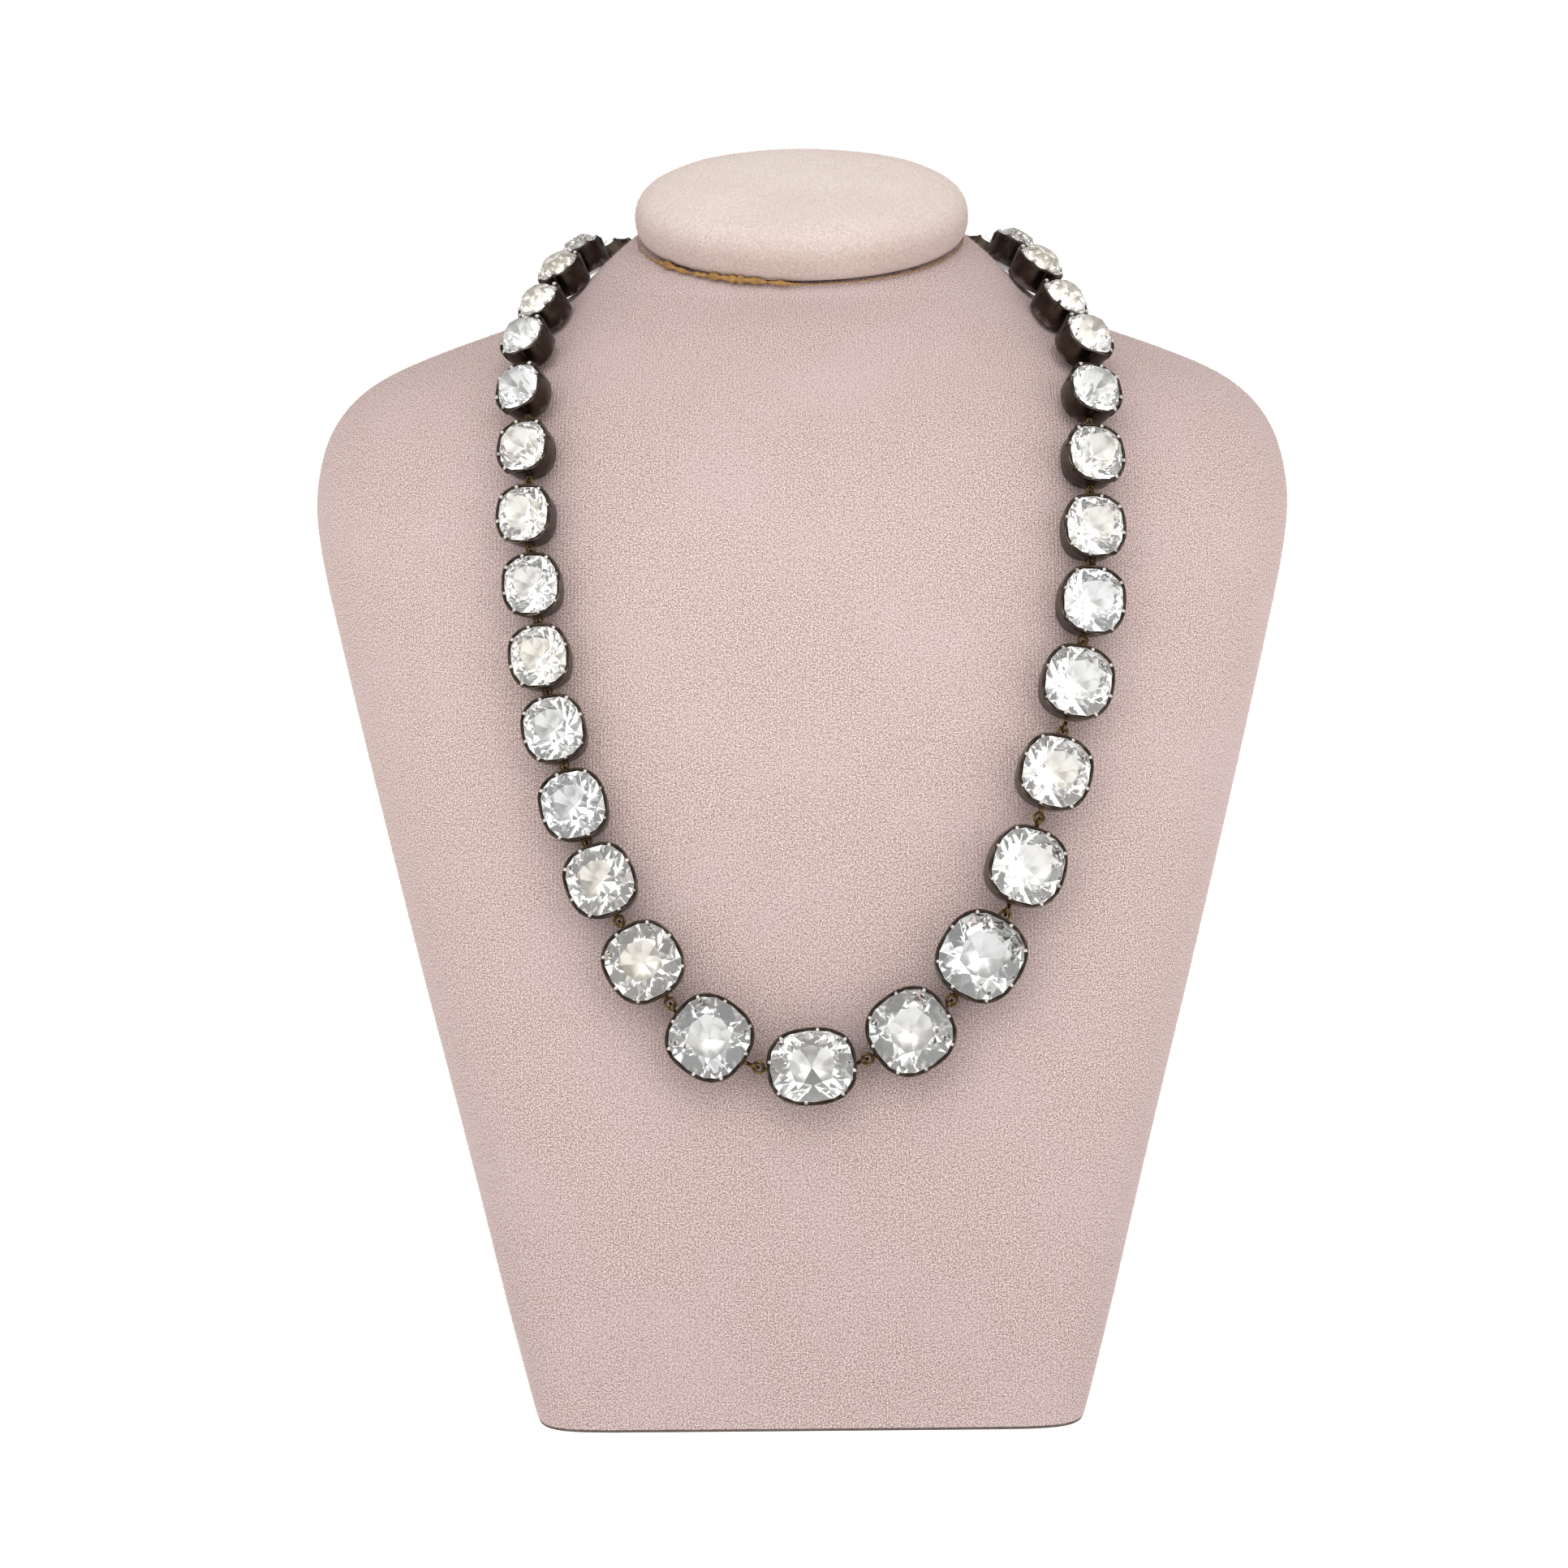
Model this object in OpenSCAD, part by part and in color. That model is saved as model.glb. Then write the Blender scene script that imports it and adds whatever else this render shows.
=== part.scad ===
// Riviere necklace of graduated cushion stones in closed silver settings,
// laid round a fabric covered neck bust. Millimetres, +Z up, +X to the right
// as seen from the front, +Y to the back. The origin is the middle of the
// whole piece's footprint on the surface that it stands on.

/* [Bust] */
// Width of the foot
foot_w = 109; // [90:1:130]
// Depth of the foot
foot_d = 112; // [90:1:130]
// Full width across the shoulders
shoulder_w = 202; // [180:1:230]
// Height of the widest point of the shoulders
shoulder_h = 168; // [150:1:190]
// Thickness from chest to back at the shoulders
shoulder_d = 72; // [55:1:85]
// How far the chest at the shoulders stands behind the front of the foot
chest_lean = 55; // [30:1:70]
// Width of the neck under the cap
neck_w = 68; // [55:1:80]
// Depth of the neck under the cap
neck_d = 66; // [55:1:80]
// Height of the side of the neck's cut
neck_h = 225; // [210:1:250]
// How far the front of the neck stands behind the front of the foot
neck_set = 70; // [55:1:85]
// How far the neck's cut slopes down to the front
neck_tilt = 11; // [0:1:20]

/* [Cap] */
// Diameter of the padded disc on the neck
cap_w = 69; // [55:0.5:85]
// Thickness of the padded disc
cap_h = 9.6; // [6:0.2:16]
// How much its top swells in the middle
cap_crown = 1.2; // [0.4:0.1:3]

/* [Stones and settings] */
// Length of the largest side setting along the necklace
large_l = 17.8; // [14:0.1:20]
// Length of the smallest setting, beside the clasp
small_l = 9; // [7:0.1:12]
// Length of the centre setting along the necklace
centre_l = 17.8; // [14:0.1:20]
// Breadth of the centre setting
centre_b = 15.4; // [12:0.1:20]
// Height of the largest setting's wall
large_h = 7; // [5:0.1:9]
// Height of the smallest setting's wall
small_h = 5.6; // [4.6:0.1:8]
// Height of the largest stone's crown above its setting
large_crown = 3; // [1.5:0.1:4]
// Height of the smallest stone's crown above its setting
small_crown = 2.2; // [1:0.1:3]
// How square the cushion outline is, where 2 is an ellipse
cushion = 2.5; // [2:0.1:3.4]
// Wall of a setting at its rim
rim_wall = 0.5; // [0.3:0.05:1]
// How far a setting draws in towards its closed back, on each side
back_taper = 0.6; // [0.2:0.1:1.6]
// How far a claw stands above the rim between the claws
claw_h = 0.7; // [0.3:0.05:1.2]
// Width of a stone's table as a share of the stone
table_share = 0.56; // [0.4:0.01:0.7]

/* [Eyes and clasp] */
// Outer width of the eyes on the largest settings
large_eye = 2.8; // [2.4:0.1:3.4]
// Outer width of the eyes on the smallest settings
small_eye = 2.1; // [1.9:0.1:2.6]
// Height of the eyes' middle above a setting's back
eye_up = 2; // [1.6:0.1:3]
// Widest space between two settings
widest_space = 4.6; // [3.6:0.1:6]
// How far the centre setting hangs beside the bust's middle
hang_off = 0.7; // [-4:0.1:4]
// Length of the clasp's box along the necklace
clasp_l = 18; // [10:0.5:22]
// Breadth of the clasp's box
clasp_b = 7; // [5:0.5:10]
// Thickness of the clasp's box
clasp_h = 3.6; // [2.8:0.2:6]

/* [Clearances] */
// Space under each setting where it lies on the bust
seat_gap = 0.5; // [0.2:0.05:0.8]
// Space between a stone and its setting, and under the cap
fit_gap = 0.2; // [0.1:0.05:0.3]

/* [Hidden] */
// Corners of a bust section, of a setting and of a stone's girdle
BUST_SIDES = 48;
RIM_SIDES = 24;
GIRDLE_SIDES = 16;
CLAW_EVERY = 3;
EYE_FN = 32;
CAP_FN = 96;
SWELL_FN = 1200;
// Claws stand a little past the line of the necklace, clear of the eyes
CLAW_TURN = 7.5;

// Foot to shoulders: height as a share of shoulder_h, then how far the width
// has gone from the foot's to the shoulders', how far the chest has leaned
// back, how far the depth has gone from the foot's to the shoulders', where
// the widest place lies from front to back, and how square the section is
LOWER = [
    [0,     0,     0,    0,    0.50, 12],
    [0.235, 0.25,  0.22, 0.28, 0.50, 6],
    [0.47,  0.50,  0.45, 0.58, 0.50, 4],
    [0.706, 0.735, 0.69, 0.84, 0.52, 3],
    [0.882, 0.905, 0.87, 0.97, 0.56, 2.4],
    [1,     1,     1,    1,    0.58, 2.2]
];
// Shoulders to neck: height as a share of the rise to neck_h, how far the
// width goes back towards the shoulders' from the neck's, how far the front
// has gone to the neck's front and the depth to the neck's, then as above
UPPER = [
    [0.214, 0.985, 0.33, 0.00, 0.60, 2.1],
    [0.357, 0.93,  0.60, 0.00, 0.60, 2.0],
    [0.482, 0.81,  0.87, 0.00, 0.58, 1.9],
    [0.589, 0.59,  1.05, 0.10, 0.56, 1.9],
    [0.679, 0.37,  1.12, 0.30, 0.54, 1.9],
    [0.768, 0.225, 1.12, 0.55, 0.52, 2],
    [0.875, 0.12,  1.06, 0.85, 0.50, 2],
    [0.95,  0.065, 1.02, 0.95, 0.50, 2],
    [1.15,  0,     1,    1,    0.50, 2]
];

// Line of the necklace, chosen by hand, from the middle of the chest round by
// the right of the picture, behind the neck and back: to the side, behind the
// front of the foot, and height. Each point is then laid on the bust.
ROUTE = [
    [0, 21, 68], [21, 23, 75], [35, 28, 90], [43, 34, 107],
    [49, 40, 124], [54, 47, 141], [57, 54, 157], [57.5, 61, 171],
    [57, 68, 182], [56.5, 76, 190], [55.5, 85, 197], [50, 96, 203],
    [40, 108, 204.5], [29.5, 120, 206], [16, 130, 208], [0, 134.5, 209.5],
    [-16, 130, 208], [-29.5, 120, 206], [-40.5, 108, 204.5], [-49, 96, 203],
    [-53, 85, 197], [-53.5, 76, 190], [-54, 67, 182], [-54.5, 60, 171],
    [-53.5, 54, 157.5], [-52, 48, 144], [-49, 42, 130], [-45, 36, 116],
    [-39, 30, 101], [-30, 24, 86], [-18, 22, 73]
];

// Stones from the centre to the clasp: how far the size has gone from the
// smallest to the largest, breadth as a share of length, the space to the
// stone before as a share of the widest space, and how many degrees the piece
// is rolled outwards about the necklace's line, with its inner side down
LEFT = [
    [0.875, 0.99, 0.85, 1], [0.785, 0.99, 0.74, 2], [0.67, 0.96, 0.61, 1],
    [0.625, 0.95, 0.27, 0], [0.555, 0.94, 0.34, -1], [0.49, 0.95, 0.29, 0],
    [0.455, 0.94, 0.35, 0], [0.385, 0.95, 0.3, 6], [0.32, 0.96, 0.3, 10],
    [0.25, 0.96, 0.3, 16], [0.195, 0.97, 0.3, 12], [0.16, 0.97, 0.3, 4],
    [0.125, 0.97, 0.3, -12], [0.09, 0.97, 0.4, -14], [0.06, 0.97, 0.6, -6],
    [0.03, 0.97, 0.6, 0], [0, 0.97, 0.6, 0]
];
RIGHT = [
    [0.91, 1, 0.72, 0], [1, 0.97, 0.61, 1], [0.795, 0.98, 0.65, 8],
    [0.705, 0.98, 0.89, 3], [0.695, 0.98, 0.79, 0], [0.58, 0.97, 0.5, 2],
    [0.5, 0.97, 0.28, 0], [0.43, 0.98, 0.28, 6], [0.35, 0.98, 0.28, 10],
    [0.285, 0.97, 0.28, 11], [0.23, 0.97, 0.28, 3], [0.18, 0.97, 0.3, -12],
    [0.135, 0.97, 0.5, -14], [0.09, 0.97, 0.6, -6], [0.06, 0.97, 0.6, 0],
    [0.03, 0.97, 0.6, 0]
];
// Joints, counted from the centre round by the right, at which the eye farther
// from the centre stands upright. At all others the nearer one does.
TURNED_JOINTS = [2, 4, 34];

STONES_LEFT = len(LEFT);
STONES_RIGHT = len(RIGHT);

// Part of the way from one size to another
function between(a, b, k) = a + (b - a) * k;
// A list's first k entries added up
function total(list, k) = k <= 0 ? 0 : list[k - 1] + total(list, k - 1);
function unit(v) = v / norm(v);

// Bust sections as height, half width, front, back, widest place, squareness.
// Front and back are measured from the front of the foot.
function lower_section(r) = let(
        front = chest_lean * r[2],
        deep = between(foot_d, shoulder_d, r[3])
    )
    [r[0] * shoulder_h, between(foot_w, shoulder_w, r[1]) / 2,
     front, front + deep, front + deep * r[4], r[5]];
function upper_section(r) = let(
        front = between(chest_lean, neck_set, r[2]),
        deep = between(shoulder_d, neck_d, r[3])
    )
    [between(shoulder_h, neck_h, r[0]), between(neck_w, shoulder_w, r[1]) / 2,
     front, front + deep, front + deep * r[4], r[5]];
SECTIONS = concat(
    [for (r = LOWER) lower_section(r)],
    [for (r = UPPER) upper_section(r)]
);
LAST = len(SECTIONS) - 1;
RATES = [for (i = [0:LAST])
    let(a = SECTIONS[max(i - 1, 0)], b = SECTIONS[min(i + 1, LAST)])
    (b - a) / (b[0] - a[0])
];

// The bust's section at any height, on a smooth curve through the table
function band_of(z, i) =
    i >= LAST - 1 || z < SECTIONS[i + 1][0] ? i : band_of(z, i + 1);
function section_in(i, z) = let(
        a = SECTIONS[i],
        b = SECTIONS[i + 1],
        h = b[0] - a[0],
        t = min(max((z - a[0]) / h, 0), 1),
        t2 = t * t,
        t3 = t2 * t
    )
    (2 * t3 - 3 * t2 + 1) * a + (t3 - 2 * t2 + t) * h * RATES[i]
    + (3 * t2 - 2 * t3) * b + (t3 - t2) * h * RATES[i + 1];
function section(z) = section_in(band_of(z, 0), z);

// A point of a section's outline, at an angle from the bust's side
function on_section(s, a) = let(
        k = 2 / s[5],
        x = s[1] * sign(cos(a)) * pow(abs(cos(a)), k),
        half = sin(a) < 0 ? s[4] - s[2] : s[3] - s[4],
        y = s[4] + half * sign(sin(a)) * pow(abs(sin(a)), k)
    )
    [x, y];

// The neck's cut slopes down to the front through the middle of the neck, and
// the sections above the shoulders turn with it little by little
NECK_MID = neck_set + neck_d / 2;
LEVEL = between(shoulder_h, neck_h, 0.75);
function cut_height(y) = neck_h + (y - NECK_MID) * tan(neck_tilt);
function share_up(y) = (cut_height(y) - LEVEL) / (neck_h - LEVEL);
function turned(z, y) = z < LEVEL ? z : LEVEL + (z - LEVEL) * share_up(y);
function turned_back(z, y) = z < LEVEL ? z : LEVEL + (z - LEVEL) / share_up(y);

// How far a point lies outside the bust, as a share of the section's size
function outside(p) = let(
        s = section(turned_back(p[2], p[1])),
        dy = p[1] - s[4],
        half = dy < 0 ? s[4] - s[2] : s[3] - s[4]
    )
    pow(pow(abs(p[0] / s[1]), s[5]) + pow(abs(dy / half), s[5]), 1 / s[5]) - 1;
PROBE = 0.05;
function rise(p) = [
    for (d = [[PROBE, 0, 0], [0, PROBE, 0], [0, 0, PROBE]])
    (outside(p + d) - outside(p - d)) / (2 * PROBE)
];
// The point of the bust's surface that a point is laid on
function laid(p, turns = 5) = turns == 0 ? p : let(g = rise(p))
    laid(p - g * outside(p) / (g * g), turns - 1);

// The necklace's line on the bust, closed, with its running length
SPANS = len(ROUTE);
STEPS = 5;
function route_point(i) = ROUTE[(i + SPANS) % SPANS];
function on_route(i, t) = let(
        p0 = route_point(i - 1),
        p1 = route_point(i),
        p2 = route_point(i + 1),
        p3 = route_point(i + 2)
    )
    (2 * p1 + t * (p2 - p0) + t * t * (2 * p0 - 5 * p1 + 4 * p2 - p3)
    + t * t * t * (3 * p1 - p0 - 3 * p2 + p3)) / 2;
LINE = [for (i = [0:SPANS - 1], j = [0:STEPS - 1]) laid(on_route(i, j / STEPS))];
POINTS = len(LINE);
RUN = [for (i = 0, s = 0; i <= POINTS;
    s = s + norm(LINE[(i + 1) % POINTS] - LINE[i % POINTS]), i = i + 1) s];
LOOP = RUN[POINTS];
ALONG = [for (axis = [0:2]) [for (i = [0:POINTS]) [RUN[i], LINE[i % POINTS][axis]]]];
function at_length(s) = let(r = (s + LOOP) % LOOP)
    [for (axis = [0:2]) lookup(r, ALONG[axis])];

// Place of a piece on the necklace: its back's middle, then the directions
// along the necklace, across it and away from the bust. A piece that is rolled
// about the necklace's line stands on its lower edge.
GRIP = 4;
function place(s, roll = 0, half_b = 0) = let(
        p = laid(at_length(s), 2),
        up = unit(rise(p)),
        chord = at_length(s + GRIP) - at_length(s - GRIP),
        along = unit(chord - up * (chord * up)),
        aside = cross(up, along),
        out = up * cos(roll) - aside * sin(roll),
        lift = seat_gap + half_b * abs(sin(roll))
    )
    [p + up * lift, along, cross(out, along), out];

// Sizes of a setting: length, breadth, wall height, crown height, eye width
function sizes(r) = let(l = between(small_l, large_l, r[0])) [
    l,
    l * r[1],
    between(small_h, large_h, r[0]),
    between(small_crown, large_crown, r[0]),
    between(small_eye, large_eye, r[0])
];
CENTRE = [centre_l, centre_b, large_h, large_crown, large_eye];
LEFT_SIZES = [for (r = LEFT) sizes(r)];
RIGHT_SIZES = [for (r = RIGHT) sizes(r)];
CLASP_SPACE = 0.43 * widest_space;

// What is left of the loop's length is shared out between the joints
LEFT_STEPS = [for (r = LEFT) sizes(r)[0] + r[2] * widest_space];
RIGHT_STEPS = [for (r = RIGHT) sizes(r)[0] + r[2] * widest_space];
PIECES_L = centre_l + total(LEFT_STEPS, STONES_LEFT)
    + total(RIGHT_STEPS, STONES_RIGHT) + clasp_l + 2 * CLASP_SPACE;
SPARE = (LOOP - PIECES_L) / (STONES_LEFT + STONES_RIGHT + 2);
function half_back(size) = size[1] / 2 - back_taper;
function reach(steps, list, k) =
    centre_l / 2 + total(steps, k + 1) + (k + 1) * SPARE - list[k][0] / 2;
RIGHT_PLACES = [for (k = [0:STONES_RIGHT - 1])
    place(hang_off + reach(RIGHT_STEPS, RIGHT_SIZES, k), RIGHT[k][3], half_back(RIGHT_SIZES[k]))];
LEFT_PLACES = [for (k = [0:STONES_LEFT - 1])
    place(hang_off - reach(LEFT_STEPS, LEFT_SIZES, k), LEFT[k][3], half_back(LEFT_SIZES[k]))];
CENTRE_PLACE = place(hang_off);
CLASP_PLACE = place(hang_off + centre_l / 2 + total(RIGHT_STEPS, STONES_RIGHT)
    + (STONES_RIGHT + 1) * SPARE + CLASP_SPACE + clasp_l / 2);

// The whole piece is moved so that its footprint is centred. The foot's front
// and the outermost stone behind the neck are its ends.
function behind(size, at) = at[0][1] + at[3][1] * (size[2] + size[3])
    + norm([at[1][1], at[2][1]]) * size[0] * table_share / 2;
BACK_END = max(concat(
    [CLASP_PLACE[0][1] + CLASP_PLACE[3][1] * clasp_h],
    [for (k = [0:STONES_LEFT - 1]) behind(LEFT_SIZES[k], LEFT_PLACES[k])],
    [for (k = [0:STONES_RIGHT - 1]) behind(RIGHT_SIZES[k], RIGHT_PLACES[k])]
));
module standing() translate([0, -BACK_END / 2, 0]) children();

// All pieces in their order round the necklace: the centre, the right side, the
// clasp and the left side back to the centre
CLASP = [clasp_l, clasp_b, clasp_h, 0, small_eye];
PIECES = concat([CENTRE], RIGHT_SIZES, [CLASP],
    [for (k = [1:STONES_LEFT]) LEFT_SIZES[STONES_LEFT - k]]);
PLACES = concat([CENTRE_PLACE], RIGHT_PLACES, [CLASP_PLACE],
    [for (k = [1:STONES_LEFT]) LEFT_PLACES[STONES_LEFT - k]]);
COUNT = len(PIECES);
CLASP_AT = STONES_RIGHT + 1;

// Where the wall of a piece is met at the height of the eyes, at either end
function draw_in(size) = size[3] == 0 ? 0 : back_taper * (1 - eye_up / size[2]);
function wall_point(i, side) = PLACES[i][0] + PLACES[i][3] * eye_up
    + PLACES[i][1] * side * (PIECES[i][0] / 2 - draw_in(PIECES[i]));

// The joint after a piece: its middle, the directions along, across and out,
// and the outer width of its two eyes
function joint(i) = let(
        j = (i + 1) % COUNT,
        from = wall_point(i, 1),
        to = wall_point(j, -1),
        along = unit(to - from),
        lift = PLACES[i][3] + PLACES[j][3],
        out = unit(lift - along * (lift * along))
    )
    [(from + to) / 2, along, cross(out, along), out, (PIECES[i][4] + PIECES[j][4]) / 2];
JOINTS = [for (i = [0:COUNT - 1]) joint(i)];
EYE_WIRE = 0.26;

// Moves what is drawn to a place and turns it to three directions
module put(at, x, y, z)
    multmatrix([[x[0], y[0], z[0], at[0]], [x[1], y[1], z[1], at[1]], [x[2], y[2], z[2], at[2]]])
    children();

// One eye of a joint with its stem. One of the two eyes stands upright and the
// other lies flat, and each goes through the other.
STEM_IN = 1.2;
function listed(k, list) = len([for (v = list) if (v == k) v]) > 0;
function upright(k, side) = (side > 0) == ((k < CLASP_AT) != listed(k, TURNED_JOINTS));
module eye(i, side) {
    k = side > 0 ? i : (i + COUNT - 1) % COUNT;
    j = JOINTS[k];
    wire = EYE_WIRE * j[4];
    r = (j[4] - wire) / 2;
    ring = j[0] - j[1] * side * r / 2;
    root = wall_point(i, side) - PLACES[i][1] * side * STEM_IN;
    tip = ring - j[1] * side * r;
    z = unit(tip - root);
    x = unit(cross(j[3], z));
    if (upright(k, side))
        put(ring, j[3], j[1], j[2]) ring_of(r, wire);
    else
        put(ring, j[1], j[2], j[3]) ring_of(r, wire);
    put(root, x, cross(z, x), z) cylinder(h = norm(tip - root), d = 1.25 * wire, $fn = EYE_FN);
}
module ring_of(r, wire)
    rotate_extrude($fn = EYE_FN) translate([r, 0]) circle(d = wire, $fn = EYE_FN);

// A cushion outline, drawn in by a margin for each corner, at a height for each
function cushion_ring(l, b, margins, heights, sides, turn) = let(k = 2 / cushion) [
    for (i = [0:sides - 1])
    let(a = turn + 360 * i / sides, margin = margins[i % len(margins)])
    [(l / 2 - margin) * sign(cos(a)) * pow(abs(cos(a)), k),
     (b / 2 - margin) * sign(sin(a)) * pow(abs(sin(a)), k),
     heights[i % len(heights)]]
];

// Triangles between two rings of the same number of corners, the first lower
function wall_faces(first, n) = [
    for (i = [0:n - 1], half = [0, 1])
    half == 0
        ? [first + i, first + n + i, first + n + (i + 1) % n]
        : [first + i, first + n + (i + 1) % n, first + (i + 1) % n]
];
function flat_face(first, n, up) = [for (i = [0:n - 1]) first + (up ? n - 1 - i : i)];
// A closed solid of rings laid one on another
module rings_solid(rings) {
    n = len(rings[0]);
    last = (len(rings) - 1) * n;
    polyhedron(
        points = [for (r = rings) each r],
        faces = concat(
            [flat_face(0, n, false)],
            [for (k = [0:len(rings) - 2]) each wall_faces(k * n, n)],
            [flat_face(last, n, true)]
        )
    );
}

// A stone's girdle: how far under the rim its top lies, and its thickness
GIRDLE_DOWN = 0.3;
GIRDLE_T = 0.3;
PAVILION = 0.34;
STAR_SHARE = 0.78;
LOWER_SHARE = 0.42;
FLOOR_T = 0.6;
function stone_deep(size) = min(PAVILION * size[0],
    size[2] - GIRDLE_DOWN - GIRDLE_T - FLOOR_T - fit_gap);

// Setting: a closed cup, drawn in to its back, with claws bent over the stone.
// Between the claws its rim is lower. The stone's seat follows the pavilion.
CLAW_IN = 0.55;
CLAW_LOW = 0.15;
SEAT_R = 0.8;
module cup(size, turn) {
    l = size[0];
    b = size[1];
    h = size[2];
    girdle = h - GIRDLE_DOWN;
    low = girdle - GIRDLE_T - fit_gap;
    floor_z = low - stone_deep(size);
    rings_solid([
        cushion_ring(l, b, [back_taper], [0], RIM_SIDES, turn),
        cushion_ring(l, b, [0], [h + claw_h - CLAW_LOW, h - CLAW_LOW, h - CLAW_LOW],
            RIM_SIDES, turn),
        cushion_ring(l, b, [rim_wall + CLAW_IN, rim_wall, rim_wall],
            [h + claw_h, h - CLAW_LOW, h - CLAW_LOW], RIM_SIDES, turn),
        cushion_ring(l, b, [rim_wall], [girdle - fit_gap / 2], RIM_SIDES, turn),
        cushion_ring(l, b, [rim_wall], [low], RIM_SIDES, turn),
        cushion_ring(2 * SEAT_R, 2 * SEAT_R, [0], [floor_z], RIM_SIDES, turn)
    ]);
}
module setting(i) {
    color("#7d7772")
    standing() {
        put(PLACES[i][0], PLACES[i][1], PLACES[i][2], PLACES[i][3])
        cup(PIECES[i], i < CLASP_AT ? -CLAW_TURN : CLAW_TURN);
        eye(i, 1);
        eye(i, -1);
    }
}

// Stone: a brilliant of cushion outline with a flat table, stars, kites and
// halves on its crown, a thin girdle, and a pavilion that ends in a point
module brilliant(size) {
    l = size[0] - 2 * (rim_wall + fit_gap);
    b = size[1] - 2 * (rim_wall + fit_gap);
    girdle = size[2] - GIRDLE_DOWN;
    crown = size[3] + GIRDLE_DOWN;
    deep = stone_deep(size);
    half = 360 / GIRDLE_SIDES;
    n = GIRDLE_SIDES / 2;
    star_z = girdle + crown * (1 - STAR_SHARE * cos(half)) / (1 - table_share);
    low = girdle - GIRDLE_T;
    low_z = low - deep * (1 - LOWER_SHARE * cos(half));
    table = cushion_ring(l * table_share, b * table_share, [0], [girdle + crown], n, 0);
    stars = cushion_ring(l * STAR_SHARE, b * STAR_SHARE, [0], [star_z], n, half);
    top = cushion_ring(l, b, [0], [girdle], 2 * n, 0);
    under = cushion_ring(l, b, [0], [low], 2 * n, 0);
    lows = cushion_ring(l * LOWER_SHARE, b * LOWER_SHARE, [0], [low_z], n, half);
    // Where each ring starts in the list of points
    u = n + 1;
    g = u + 2 * n;
    s = g + 2 * n;
    t = s + n;
    polyhedron(
        points = concat([[0, 0, low - deep]], lows, under, top, stars, table),
        faces = concat(
            [for (i = [0:n - 1]) each
                let(o = 2 * i, far = (i + n - 1) % n, end = (2 * i + 2) % (2 * n)) [
                [u + o, 1 + i, 0],
                [u + o, 0, 1 + far],
                [u + o, u + o + 1, 1 + i],
                [u + o + 1, u + end, 1 + i],
                [s + i, g + o + 1, g + o],
                [s + i, g + end, g + o + 1],
                [t + i, s + i, g + o],
                [t + i, g + o, s + far],
                [t + i, t + (i + 1) % n, s + i]
            ]],
            wall_faces(u, 2 * n),
            [flat_face(t, n, true)]
        )
    );
}
module stone(i) {
    color("#d9d6cf")
    standing()
    put(PLACES[i][0], PLACES[i][1], PLACES[i][2], PLACES[i][3])
    brilliant(PIECES[i]);
}

// Bust: sections from the foot to the neck's cut
BUST_ROWS = [for (i = [0:LAST - 2], half = [0, 0.5])
    between(SECTIONS[i][0], SECTIONS[i + 1][0], half)];
function bust_point(z, a) = let(q = on_section(section(z), a)) [q[0], q[1], turned(z, q[1])];
function bust_ring(z) = [for (i = [0:BUST_SIDES - 1]) bust_point(z, 360 * i / BUST_SIDES)];
function cut_ring() = [
    for (i = [0:BUST_SIDES - 1])
    let(a = 360 * i / BUST_SIDES, y = NECK_MID + neck_d / 2 * sin(a))
    [neck_w / 2 * cos(a), y, cut_height(y)]
];
module bust_body() {
    color("#d3b5b4")
    standing()
    rings_solid(concat([for (z = BUST_ROWS) bust_ring(z)], [cut_ring()]));
}

// Cap: a padded disc with a round edge and a slightly swollen top
module bust_cap() {
    edge = cap_h / 2;
    swell = (pow(cap_w / 2, 2) + pow(cap_crown, 2)) / (2 * cap_crown);
    color("#ddc8c4")
    standing()
    translate([0, NECK_MID, neck_h])
    rotate([neck_tilt, 0, 0])
    translate([0, 0, fit_gap])
    rotate_extrude($fn = CAP_FN) {
        square([cap_w / 2 - edge, cap_h]);
        translate([cap_w / 2 - edge, edge])
        intersection() {
            circle(r = edge, $fn = CAP_FN);
            translate([-edge / 2, -edge])
            square([2 * edge, cap_h]);
        }
        intersection() {
            translate([0, cap_h + cap_crown - swell])
            circle(r = swell, $fn = SWELL_FN);
            translate([0, edge])
            square([cap_w / 2 - edge, cap_h]);
        }
    }
}

// Clasp: a plain box behind the neck with an eye at either end
module clasp() {
    color("#8d8781")
    standing() {
        put(CLASP_PLACE[0], CLASP_PLACE[1], CLASP_PLACE[2], CLASP_PLACE[3])
        translate([-clasp_l / 2, -clasp_b / 2, 0])
        cube([clasp_l, clasp_b, clasp_h]);
        eye(CLASP_AT, 1);
        eye(CLASP_AT, -1);
    }
}

// The settings of each side are one piece of chain each, beside the centre's
module setting_centre() setting(0);
module settings_right() for (k = [1:STONES_RIGHT]) setting(k);
module settings_left() for (k = [1:STONES_LEFT]) setting(CLASP_AT + k);
module stone_centre() stone(0);

// Stones are named by their side and their number from the centre
function numbered(k) = k < 10 ? str("0", k) : str(k);
function right_name(k) = str("stone_right_", numbered(k));
function left_name(k) = str("stone_left_", numbered(k));

bust_body();
bust_cap();
setting_centre();
settings_right();
settings_left();
clasp();
stone_centre();
for (k = [1:STONES_RIGHT]) stone(k);
for (k = [1:STONES_LEFT]) stone(COUNT - k);
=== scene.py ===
# A riviere of graduated cushion stones in closed silver settings, laid round a
# fabric-covered neck bust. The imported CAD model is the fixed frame, in metres:
# the pieces below dress it, and the cut stones themselves stay as it has them.
import bmesh
import bpy
import math
import random
from mathutils import Matrix, Vector, noise


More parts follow.
